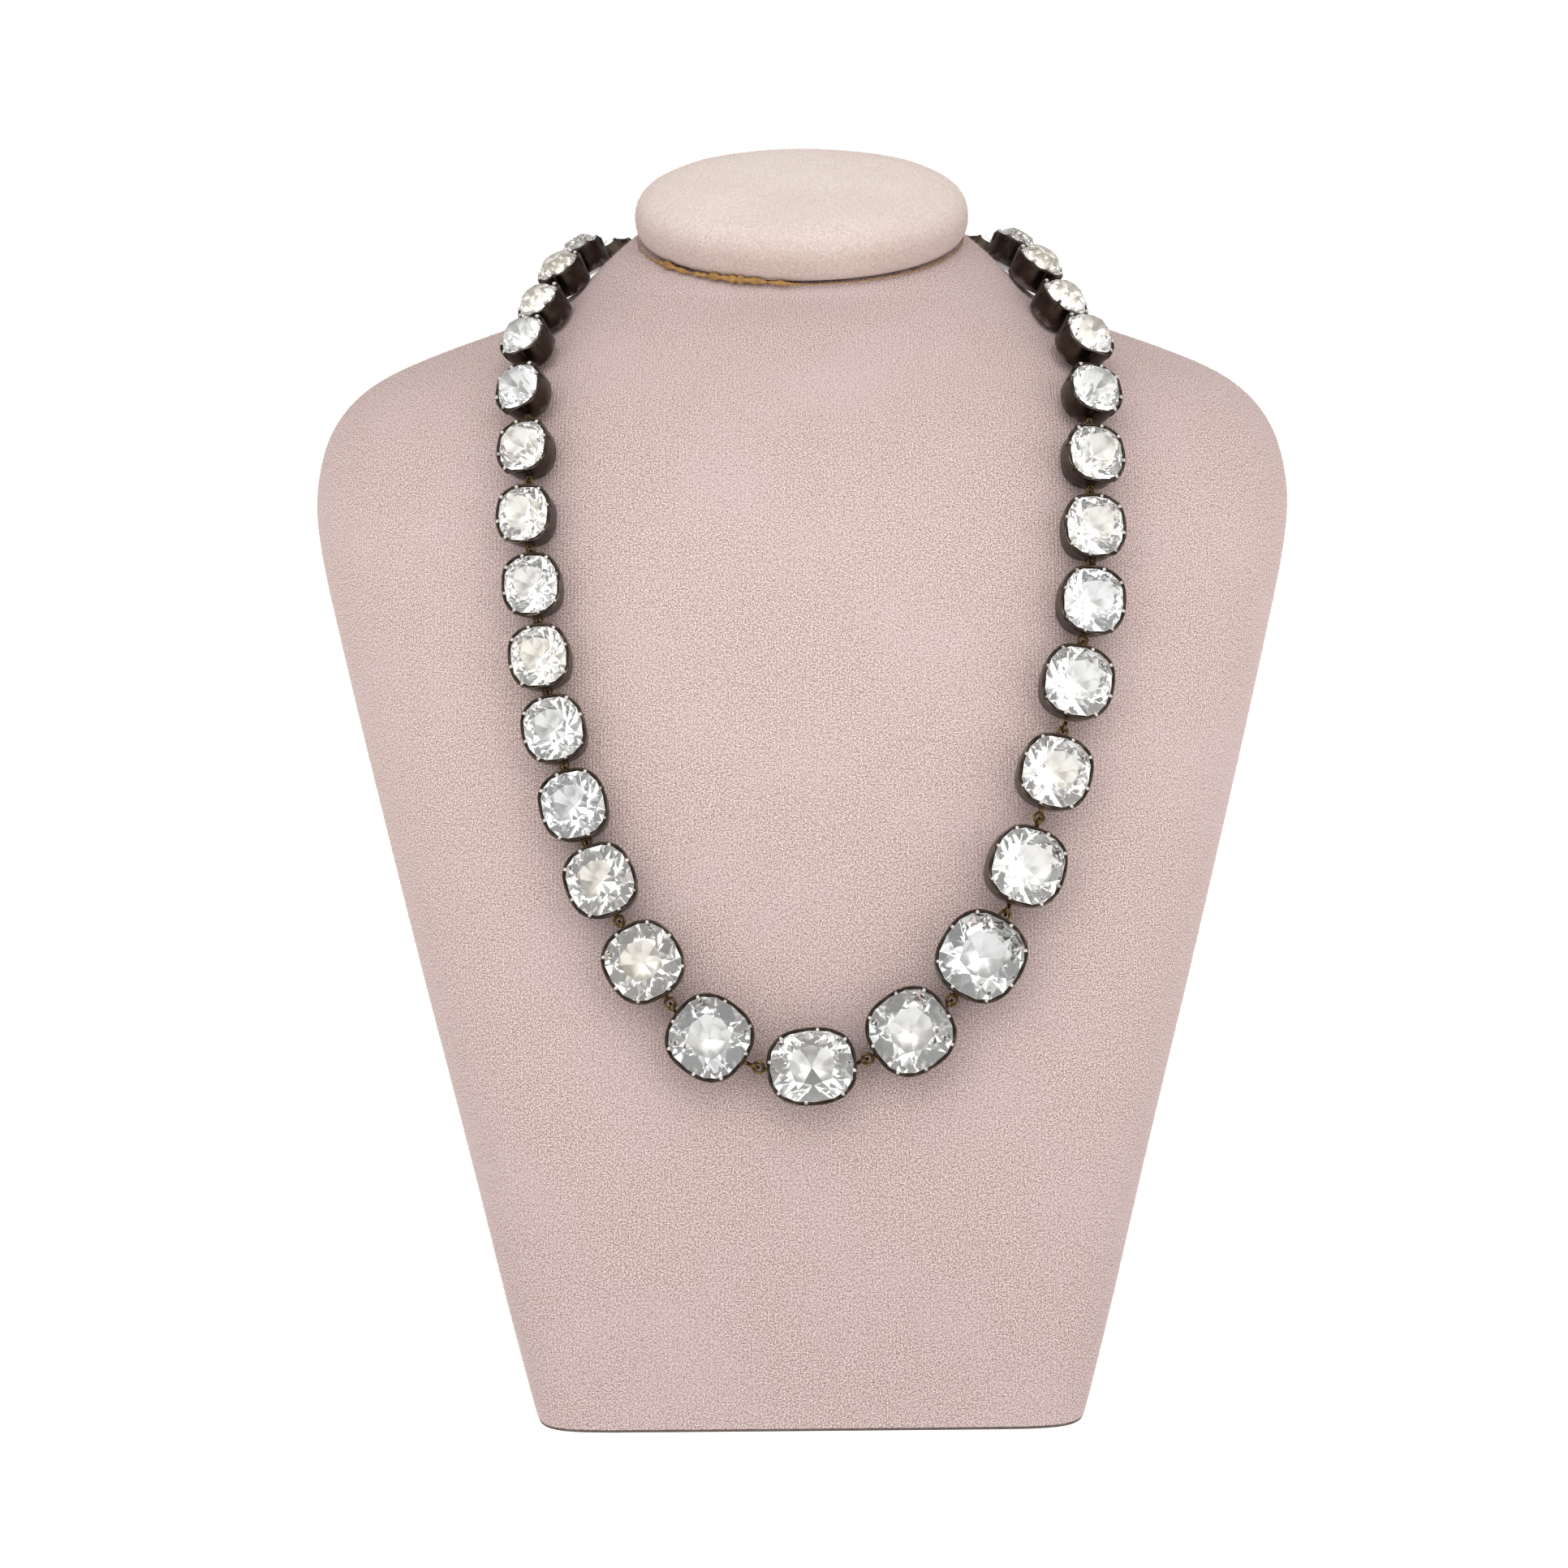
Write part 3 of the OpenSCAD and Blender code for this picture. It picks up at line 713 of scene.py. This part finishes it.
bm = bmesh.new()
bmesh.ops.create_circle(bm, segments=8, radius=1)
upright = Matrix.Translation((GLUE_RING, 0, 0)) @ Matrix.Rotation(math.pi / 2, 4, "X")
bmesh.ops.transform(bm, matrix=upright @ Matrix.Scale(0.5 * MM, 4), verts=bm.verts)
bmesh.ops.spin(
    bm,
    geom=bm.verts[:] + bm.edges[:],
    cent=(0, 0, 0),
    axis=(0, 0, 1),
    angle=2 * math.pi,
    steps=GLUE_STEPS,
    use_merge=True,
)
for v in bm.verts:
    way = Vector((v.co.x, v.co.y, 0)).normalized()
    size = glue_thickness(math.degrees(math.atan2(v.co.y, v.co.x)))
    ragged = 1 + GLUE_UNEVEN * noise.noise(way * GLUE_RING / GLUE_RAGGED)
    v.co = way * GLUE_RING + (v.co - way * GLUE_RING) * (size / MM) * ragged
    v.co.z += size * GLUE_LIFT
bmesh.ops.recalc_face_normals(bm, faces=bm.faces)
bmesh.ops.transform(bm, matrix=on_cut, verts=bm.verts)

# Dried contact adhesive: translucent brown with paler, dusty lumps
glue, tree = new_material("dried_contact_glue")
where = add(tree, "TexCoord").outputs["Object"]
crust = add(tree, "TexNoise", {"Vector": where, "Scale": 1 / (1.5 * MM), "Detail": 4})
amber = add(
    tree,
    "Mix",
    {0: crust.outputs["Fac"], 6: linear("#55331a"), 7: linear("#c8974c")},
    data_type="RGBA",
)
crumb = add(tree, "Bump", {"Strength": 0.8, "Distance": 0.3 * MM, "Height": crust.outputs["Fac"]})
shader = add(
    tree,
    "BsdfPrincipled",
    {"Base Color": amber.outputs[2], "Roughness": 0.55, "Normal": crumb.outputs["Normal"]},
)
finish_material(tree, shader)
seam_glue = place_piece(bm, "cap_seam_glue", [glue])
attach(seam_glue, "root")

# The cut stones: colourless paste, old cushion brilliants with a flat table, a
# crown of stars, kites and halves, and a deep pavilion. The CAD solids have all
# the facets, so they stay and take the glass. Each one also says where its
# setting stands: along the necklace, across it and away from the bust.
NECKLACE = (
    ["stone_centre"]
    + [f"stone_right_{k:02d}" for k in range(1, 17)]
    + ["clasp"]
    + [f"stone_left_{k:02d}" for k in range(17, 0, -1)]
)
CLASP_AT = NECKLACE.index("clasp")
SMALL_L, LARGE_L = 9 * MM, 17.8 * MM
SETTING_H = (5.6 * MM, 7 * MM)
CROWN_H = (2.2 * MM, 3 * MM)
EYE_W = (2.1 * MM, 2.8 * MM)
# The outline's fullness: 2 is an ellipse, and more brings the corners out
CUSHION = 2.5
STONE_MARGIN = 0.7 * MM
CLAW_TURN = math.radians(7.5)

# Lead glass that copies rock crystal: colourless, with a trace of straw or of
# blue that differs from stone to stone. Its polish is worn, which softens the
# facets seen through it.
paste, tree = new_material("colourless_paste")
where = add(tree, "TexCoord").outputs["Object"]
batch = add(tree, "TexNoise", {"Vector": where, "Scale": 1 / (26 * MM), "Detail": 0})
cast = add(
    tree,
    "MapRange",
    {"Value": batch.outputs["Fac"], "From Min": 0.35, "From Max": 0.65},
)
tint = add(
    tree,
    "Mix",
    {0: cast.outputs["Result"], 6: linear("#f9fbfd"), 7: linear("#fefcf7")},
    data_type="RGBA",
)
shader = add(
    tree,
    "BsdfPrincipled",
    {
        "Base Color": tint.outputs[2],
        "Roughness": 0.035,
        "IOR": 1.53,
        "Transmission Weight": 1.0,
    },
)
finish_material(tree, shader)
for name in NECKLACE:
    if name != "clasp":
        nodes[name].data.materials[0] = paste


def middle_of(node):
    low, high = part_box(node)
    return (low + high) / 2


def stone_seat(i):
    """Where a stone's setting stands and how large it is, read from its table and girdle."""
    bm = merged_copy(NECKLACE[i])
    levels = {}
    for f in bm.faces:
        key = tuple(round(c, 3) for c in f.normal)
        levels.setdefault(key, []).append(f)
    table = max(levels.values(), key=lambda faces: sum(f.calc_area() for f in faces))
    out = sum((f.normal * f.calc_area() for f in table), Vector()).normalized()
    corners = {v for f in table for v in f.verts}
    top = sum((v.co for v in corners), Vector()) / len(corners)
    chord = middle_of(NECKLACE[(i + 1) % len(NECKLACE)]) - middle_of(NECKLACE[i - 1])
    along = max(((v.co - top).normalized() for v in corners), key=lambda way: way.dot(chord))
    across = out.cross(along)
    length = 2 * (max((v.co - top).dot(along) for v in bm.verts) + STONE_MARGIN)
    breadth = 2 * (max((v.co - top).dot(across) for v in bm.verts) + STONE_MARGIN)
    bm.free()
    share = (length - SMALL_L) / (LARGE_L - SMALL_L)
    size = [small + (large - small) * share for small, large in (SETTING_H, CROWN_H, EYE_W)]
    seat = Matrix((along, across, out)).transposed().to_4x4()
    seat.translation = top - out * (size[0] + size[1])
    return {
        "seat": seat,
        "along": along,
        "out": out,
        "length": length,
        "breadth": breadth,
        "height": size[0],
        "eye": size[2],
        "claw_turn": CLAW_TURN if i > CLASP_AT else -CLAW_TURN,
    }


seats = [None if i == CLASP_AT else stone_seat(i) for i in range(len(NECKLACE))]

# The foils: each closed back holds a leaf of bright silver foil, pressed against
# the stone's pavilion and a little way up its girdle. It throws the light back
# through the stone.
FOIL_UNDER = 0.07 * MM
FOIL_THICK = 0.03 * MM
FOIL_UP = 0.34 * MM
FOIL_SPREAD = 1.009


def add_to_row(row, bm):
    """Moves one finished piece's mesh into the row that it belongs to."""
    mesh = bpy.data.meshes.new("one_of_row")
    bm.to_mesh(mesh)
    bm.free()
    row.from_mesh(mesh)
    bpy.data.meshes.remove(mesh)


def press_foil(i):
    """A leaf of foil with the facets of a stone's pavilion."""
    bm = merged_copy(NECKLACE[i])
    out = seats[i]["out"]
    crown = [f for f in bm.faces if f.normal.dot(out) > -0.2]
    bmesh.ops.delete(bm, geom=crown, context="FACES")
    girdle = [e for e in bm.edges if e.is_boundary]
    middle = sum((v.co for e in girdle for v in e.verts), Vector()) / (2 * len(girdle))
    to_middle = Matrix.Translation(-middle)
    bmesh.ops.scale(bm, vec=(FOIL_SPREAD,) * 3, space=to_middle, verts=bm.verts)
    bmesh.ops.translate(bm, vec=-out * FOIL_UNDER, verts=bm.verts)
    collar = bmesh.ops.extrude_edge_only(bm, edges=girdle)["geom"]
    collar = [v for v in collar if isinstance(v, bmesh.types.BMVert)]
    bmesh.ops.translate(bm, vec=out * FOIL_UP, verts=collar)
    bmesh.ops.recalc_face_normals(bm, faces=bm.faces)
    bmesh.ops.solidify(bm, geom=bm.faces[:], thickness=FOIL_THICK)
    return bm


# Silver leaf on paper: bright, but dulled and softened by age, so that the
# facets read as broad soft planes
foil, tree = new_material("silver_foil")
where = add(tree, "TexCoord").outputs["Object"]
ageing = add(tree, "TexNoise", {"Vector": where, "Scale": 1 / (3 * MM), "Detail": 3})
leaf = add(
    tree,
    "Mix",
    {0: ageing.outputs["Fac"], 6: linear("#fbfbfb"), 7: linear("#f3efe8")},
    data_type="RGBA",
)
shader = add(
    tree,
    "BsdfPrincipled",
    {"Base Color": leaf.outputs[2], "Metallic": 0.85, "Roughness": 0.34},
)
finish_material(tree, shader)
row = bmesh.new()
for i in range(len(NECKLACE)):
    if i != CLASP_AT:
        add_to_row(row, press_foil(i))
foils = place_piece(row, "foil_leaves", [foil])
foils.data.shade_flat()
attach(foils, "root")

# The settings: closed-back cut-down collets of blackened silver. A strip is
# bent to the stone's outline and soldered on a plate, its rim is filed into
# shallow scallops, and eight claws left standing are raised over the stone.
COLLET_SIDES = 64
CLAWS = 8
SCALLOP = 0.26 * MM
SEAT_DEEP = 0.34
SEAT_FLOOR = 1.4 * MM
SEAT_SIDE = 0.5 * MM
SEAT_CENTRE = 0.7 * MM
SEAT_DROP = 0.8 * MM
COLLET_PROFILE = [
    # margin from the outline, height: a share of the wall, then mm added; scallop; wear
    (1.25, 0, 0.0, 0, 0.2),
    (0.82, 0, 0.05, 0, 0.8),
    (0.62, 0, 0.3, 0, 0.8),
    (0.3, 0.5, 0, 0, 0.2),
    (0.05, 1, -0.75, 0.3, 0.1),
    (0.0, 1, -0.3, 1, 0.3),
    (0.06, 1, -0.06, 1, 0.7),
    (0.22, 1, 0.02, 1, 0.5),
    (0.44, 1, -0.02, 1, 0.2),
    (0.61, 1, -0.14, 1, 0.7),
    (0.62, 1, -0.3, 0.5, 0.2),
    (0.55, 1, -0.6, 0, 0.0),
]


def on_cushion(turn, half_l, half_b):
    """A point of a cushion outline at a turn, as an ellipse with fuller corners."""
    power = 2 / CUSHION
    x, y = math.cos(turn), math.sin(turn)
    return Vector((
        half_l * math.copysign(abs(x) ** power, x),
        half_b * math.copysign(abs(y) ** power, y),
        0,
    ))


def raise_collet(bm, stone):
    """One collet from a circle drawn up ring by ring, closed at its back and at its seat."""
    deep = min(SEAT_DEEP * stone["length"], stone["height"] - SEAT_FLOOR)
    half_l, half_b = stone["length"] / 2, stone["breadth"] / 2
    rings = [
        (margin * MM, share * stone["height"] + rise * MM, scallop * SCALLOP, wear)
        for margin, share, rise, scallop, wear in COLLET_PROFILE
    ]
    # The seat follows the stone's pavilion, 0.2 mm under it
    low = stone["height"] - SEAT_DROP
    for part in (0.02, 1):
        inward = SEAT_SIDE + (half_b - SEAT_SIDE - SEAT_CENTRE) * part
        rings.append((inward, low - deep * part, 0, 0))
    made = bmesh.ops.create_circle(bm, segments=COLLET_SIDES, radius=1)["verts"]
    edges = list({e for v in made for e in v.link_edges})
    bmesh.ops.contextual_create(bm, geom=edges)
    for k in range(1, len(rings)):
        drawn = bmesh.ops.extrude_edge_only(bm, edges=edges)["geom"]
        edges = [g for g in drawn if isinstance(g, bmesh.types.BMEdge)]
        edges = [e for e in edges if len(e.link_faces) == 1]
        up = [g for g in drawn if isinstance(g, bmesh.types.BMVert)]
        bmesh.ops.translate(bm, vec=(0, 0, 1), verts=up)
        made += up
    bmesh.ops.contextual_create(bm, geom=edges)
    worn = bm.verts.layers.float["worn"]
    for v in made:
        margin, height, scallop, wear = rings[round(v.co.z)]
        turn = math.atan2(v.co.y, v.co.x)
        dip = 0.5 - 0.5 * math.cos(CLAWS * (turn - stone["claw_turn"]))
        v.co = on_cushion(turn, half_l - margin, half_b - margin)
        v.co.z = height - scallop * dip
        v[worn] = wear
    bmesh.ops.transform(bm, matrix=stone["seat"], verts=made)


# A claw: its head is a small ball bent over the stone's edge, and its tail runs
# down the wall as a tapering ridge
CLAW_HEAD = 0.82 * MM
CLAW_SPINE = [
    # from the outline outwards and from the rim upwards, in mm: head, bend, wall, tail
    (-0.95, 0.34), (-0.30, 0.42), (0.05, -0.50), (-0.18, -2.30),
]


def raise_claws(bm, stone):
    """Eight claws of one collet, each a ball drawn out along a bent spine."""
    worn = bm.verts.layers.float["worn"]
    half_l, half_b, height = stone["length"] / 2, stone["breadth"] / 2, stone["height"]
    for k in range(CLAWS):
        turn = stone["claw_turn"] + 2 * math.pi * k / CLAWS
        edge = on_cushion(turn, half_l, half_b)
        side = on_cushion(turn + 0.02, half_l, half_b) - on_cushion(turn - 0.02, half_l, half_b)
        side.normalize()
        outward = side.cross(Vector((0, 0, 1)))
        spine = [
            edge + outward * out * MM + Vector((0, 0, height + up * MM))
            for out, up in CLAW_SPINE
        ]
        ball = bmesh.ops.create_uvsphere(bm, u_segments=8, v_segments=8, radius=1)["verts"]
        for v in ball:
            run = (1 - v.co.z) / 2
            a, b, c = (1 - run), run, 3 * run * (1 - run)
            at = a**3 * spine[0] + c * a * spine[1] + c * b * spine[2] + b**3 * spine[3]
            way = a * a * (spine[1] - spine[0]) + 2 * a * b * (spine[2] - spine[1])
            way = (way + b * b * (spine[3] - spine[2])).normalized()
            thick = CLAW_HEAD * (1 - 0.8 * run ** 0.5)
            v.co = at + (side * v.co.x + side.cross(way) * v.co.y) * thick
            v[worn] = max(0.3, 2.2 - 3.6 * run)
        bmesh.ops.transform(bm, matrix=stone["seat"], verts=ball)


# Old silver: warm grey-black tarnish on the walls, rubbed back to bare metal on
# the rims, the claws' heads and the edge of the back
silver, tree = new_material("blackened_silver")
where = add(tree, "TexCoord").outputs["Object"]
wear = add(tree, "Attribute", attribute_name="worn").outputs["Fac"]
blotch = add(tree, "TexNoise", {"Vector": where, "Scale": 1 / (2.5 * MM), "Detail": 4})
scratches = add(tree, "TexNoise", {"Vector": where, "Scale": 1 / (0.5 * MM), "Detail": 3})
rubbed = add(
    tree,
    "Math",
    {0: blotch.outputs["Fac"], 1: wear},
    operation="MULTIPLY",
)
bare = add(
    tree,
    "MapRange",
    {"Value": rubbed.outputs[0], "From Min": 0.3, "From Max": 0.85},
)
tarnish = add(
    tree,
    "Mix",
    {0: blotch.outputs["Fac"], 6: linear("#221b17"), 7: linear("#54483f")},
    data_type="RGBA",
)
colour = add(
    tree,
    "Mix",
    {0: bare.outputs["Result"], 6: tarnish.outputs[2], 7: linear("#dcd7d1")},
    data_type="RGBA",
)
dull = add(
    tree,
    "MapRange",
    {"Value": scratches.outputs["Fac"], "To Min": 0.2, "To Max": 0.42},
)
marks = add(
    tree,
    "Bump",
    {"Strength": 0.15, "Distance": 0.05 * MM, "Height": scratches.outputs["Fac"]},
)
shader = add(
    tree,
    "BsdfPrincipled",
    {
        "Base Color": colour.outputs[2],
        "Metallic": 1.0,
        "Roughness": dull.outputs["Result"],
        "Normal": marks.outputs["Normal"],
    },
)
finish_material(tree, shader)

SIDES = {
    "collet_centre": ([0], "setting_centre"),
    "collets_right": (range(1, CLASP_AT), "settings_right"),
    "collets_left": (range(CLASP_AT + 1, len(NECKLACE)), "settings_left"),
}
for name, (members, node) in SIDES.items():
    row = bmesh.new()
    for i in members:
        bm = bmesh.new()
        bm.verts.layers.float.new("worn")
        raise_collet(bm, seats[i])
        raise_claws(bm, seats[i])
        bmesh.ops.recalc_face_normals(bm, faces=bm.faces)
        add_to_row(row, bm)
    collets = place_piece(row, name, [silver])
    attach(collets, "root")
    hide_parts(node)

# The clasp behind the neck: a plain silver box with rounded edges, rubbed bright
# by the neck and the fingers, with a shallow sunk panel in its outer face.
CLASP_SIZE = Vector((18, 7, 3.6)) * MM
CLASP_ROUND = 0.6 * MM
CLASP_BORDER = 0.9 * MM
CLASP_PANEL = 0.15 * MM
CLASP_WORN = 1.2


def clasp_seat():
    """Where the clasp lies: its outer face is the CAD node's largest flat face that looks back."""
    bm = merged_copy("clasp")
    flats = [f for f in bm.faces if f.calc_area() > 8 * MM**2]
    outer = max(flats, key=lambda f: f.calc_area() * (1 if f.normal.y > 0.3 else 0))
    out = outer.normal.copy()
    corners = {v for f in flats if f.normal.dot(out) > 0.999 for v in f.verts}
    top = sum((v.co for v in corners), Vector()) / len(corners)
    chord = middle_of(NECKLACE[CLASP_AT + 1]) - middle_of(NECKLACE[CLASP_AT - 1])
    sides = [(a.co - b.co) for a in corners for b in corners if a is not b]
    long_side = min(sides, key=lambda side: abs(side.length - CLASP_SIZE.x))
    along = long_side.normalized() * (1 if long_side.dot(chord) > 0 else -1)
    bm.free()
    seat = Matrix((along, out.cross(along), out)).transposed().to_4x4()
    seat.translation = top - out * CLASP_SIZE.z
    return seat


seat = clasp_seat()
bm = bmesh.new()
worn = bm.verts.layers.float.new("worn")
bmesh.ops.create_cube(bm, size=1)
bmesh.ops.scale(bm, vec=CLASP_SIZE, verts=bm.verts)
bmesh.ops.translate(bm, vec=(0, 0, CLASP_SIZE.z / 2), verts=bm.verts)
bmesh.ops.bevel(
    bm,
    geom=bm.edges[:],
    offset=CLASP_ROUND,
    offset_type="OFFSET",
    affect="EDGES",
    segments=4,
    profile=0.5,
    material=-1,
)
for v in bm.verts:
    v[worn] = CLASP_WORN
lid = max(bm.faces, key=lambda f: f.calc_center_median().z)
bmesh.ops.inset_region(bm, faces=[lid], thickness=CLASP_BORDER)
bmesh.ops.inset_region(bm, faces=[lid], thickness=CLASP_PANEL, depth=-CLASP_PANEL)
bmesh.ops.recalc_face_normals(bm, faces=bm.faces)
bmesh.ops.transform(bm, matrix=seat, verts=bm.verts)
box = place_piece(bm, "clasp_box", [silver])
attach(box, "root")
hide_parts("clasp")
seats[CLASP_AT] = {
    "seat": seat,
    "along": seat.col[0].xyz,
    "out": seat.col[2].xyz,
    "length": CLASP_SIZE.x,
    "height": 0,
    "eye": EYE_W[0],
}

# The eyes that join the settings: loops of gilt wire soldered to the walls, low
# down near the back. At each joint one stands upright and the other lies flat,
# and each goes through the other.
EYE_UP = 2 * MM
EYE_WIRE = 0.26
EYE_SIDES = 10
EYE_STEPS = 28
# How far the walls draw in from the rim to the back
WALL_DRAW = 0.6 * MM
STEM_IN = 1 * MM
STEM_TAPER = (0.8, 0.55)
SOLDER_SPREAD = (1.15, 1.15, 0.55)
# At these joints it is the other piece's eye that stands upright
TURNED_JOINTS = (2, 4, 34)


def eye_root(i, side):
    """The point of a piece's wall, at the height of the eyes, that faces the next piece."""
    piece = seats[i]
    drawn = WALL_DRAW * (1 - EYE_UP / piece["height"]) if piece["height"] else 0
    end = side * (piece["length"] / 2 - drawn)
    return piece["seat"].translation + piece["out"] * EYE_UP + piece["along"] * end


def raise_eye(i, side):
    """One eye with its stem and a drop of solder, in a bmesh of its own."""
    k = i if side > 0 else (i - 1) % len(seats)
    after = (k + 1) % len(seats)
    start, end = eye_root(k, 1), eye_root(after, -1)
    along = (end - start).normalized()
    lift = seats[k]["out"] + seats[after]["out"]
    out = (lift - along * lift.dot(along)).normalized()
    width = (seats[k]["eye"] + seats[after]["eye"]) / 2
    wire = EYE_WIRE * width
    radius = (width - wire) / 2
    middle = (start + end) / 2 - along * side * radius / 2
    stands = (side > 0) == ((k < CLASP_AT) != (k in TURNED_JOINTS))
    axis = out.cross(along) if stands else out
    turned = Matrix((along, axis.cross(along), axis)).transposed().to_4x4()
    turned.translation = middle

    bm = bmesh.new()
    bmesh.ops.create_circle(bm, segments=EYE_SIDES, radius=wire / 2)
    across = Matrix.Translation((radius, 0, 0)) @ Matrix.Rotation(math.pi / 2, 4, "X")
    bmesh.ops.transform(bm, matrix=across, verts=bm.verts)
    bmesh.ops.spin(
        bm,
        geom=bm.verts[:] + bm.edges[:],
        cent=(0, 0, 0),
        axis=(0, 0, 1),
        angle=2 * math.pi,
        steps=EYE_STEPS,
        use_merge=True,
    )
    bmesh.ops.transform(bm, matrix=turned, verts=bm.verts)
    root = eye_root(i, side) - seats[i]["along"] * side * STEM_IN
    tip = middle - along * side * radius
    stem = (tip - root).to_track_quat("Z", "Y").to_matrix().to_4x4()
    stem.translation = (root + tip) / 2
    bmesh.ops.create_cone(
        bm,
        cap_ends=True,
        segments=12,
        radius1=STEM_TAPER[0] * wire,
        radius2=STEM_TAPER[1] * wire,
        depth=(tip - root).length,
        matrix=stem,
    )
    solder = stem.copy()
    solder.translation = eye_root(i, side)
    bmesh.ops.create_uvsphere(
        bm,
        u_segments=12,
        v_segments=8,
        radius=wire,
        matrix=solder @ Matrix.Diagonal((*SOLDER_SPREAD, 1)),
    )
    bmesh.ops.recalc_face_normals(bm, faces=bm.faces)
    return bm


# Gilt brass wire: warm and satin, browned in the crooks and rubbed bright where
# the loops bear on each other
gilt, tree = new_material("gilt_brass_wire")
where = add(tree, "TexCoord").outputs["Object"]
browned = add(tree, "TexNoise", {"Vector": where, "Scale": 1 / (1.2 * MM), "Detail": 3})
gold = add(
    tree,
    "Mix",
    {0: browned.outputs["Fac"], 6: linear("#35281b"), 7: linear("#a08458")},
    data_type="RGBA",
)
drawn = add(
    tree,
    "MapRange",
    {"Value": browned.outputs["Fac"], "To Min": 0.5, "To Max": 0.28},
)
shader = add(
    tree,
    "BsdfPrincipled",
    {"Base Color": gold.outputs[2], "Metallic": 1.0, "Roughness": drawn.outputs["Result"]},
)
finish_material(tree, shader)

row = bmesh.new()
for i in range(len(seats)):
    for side in (-1, 1):
        add_to_row(row, raise_eye(i, side))
eyes = place_piece(row, "wire_eyes", [gilt])
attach(eyes, "root")
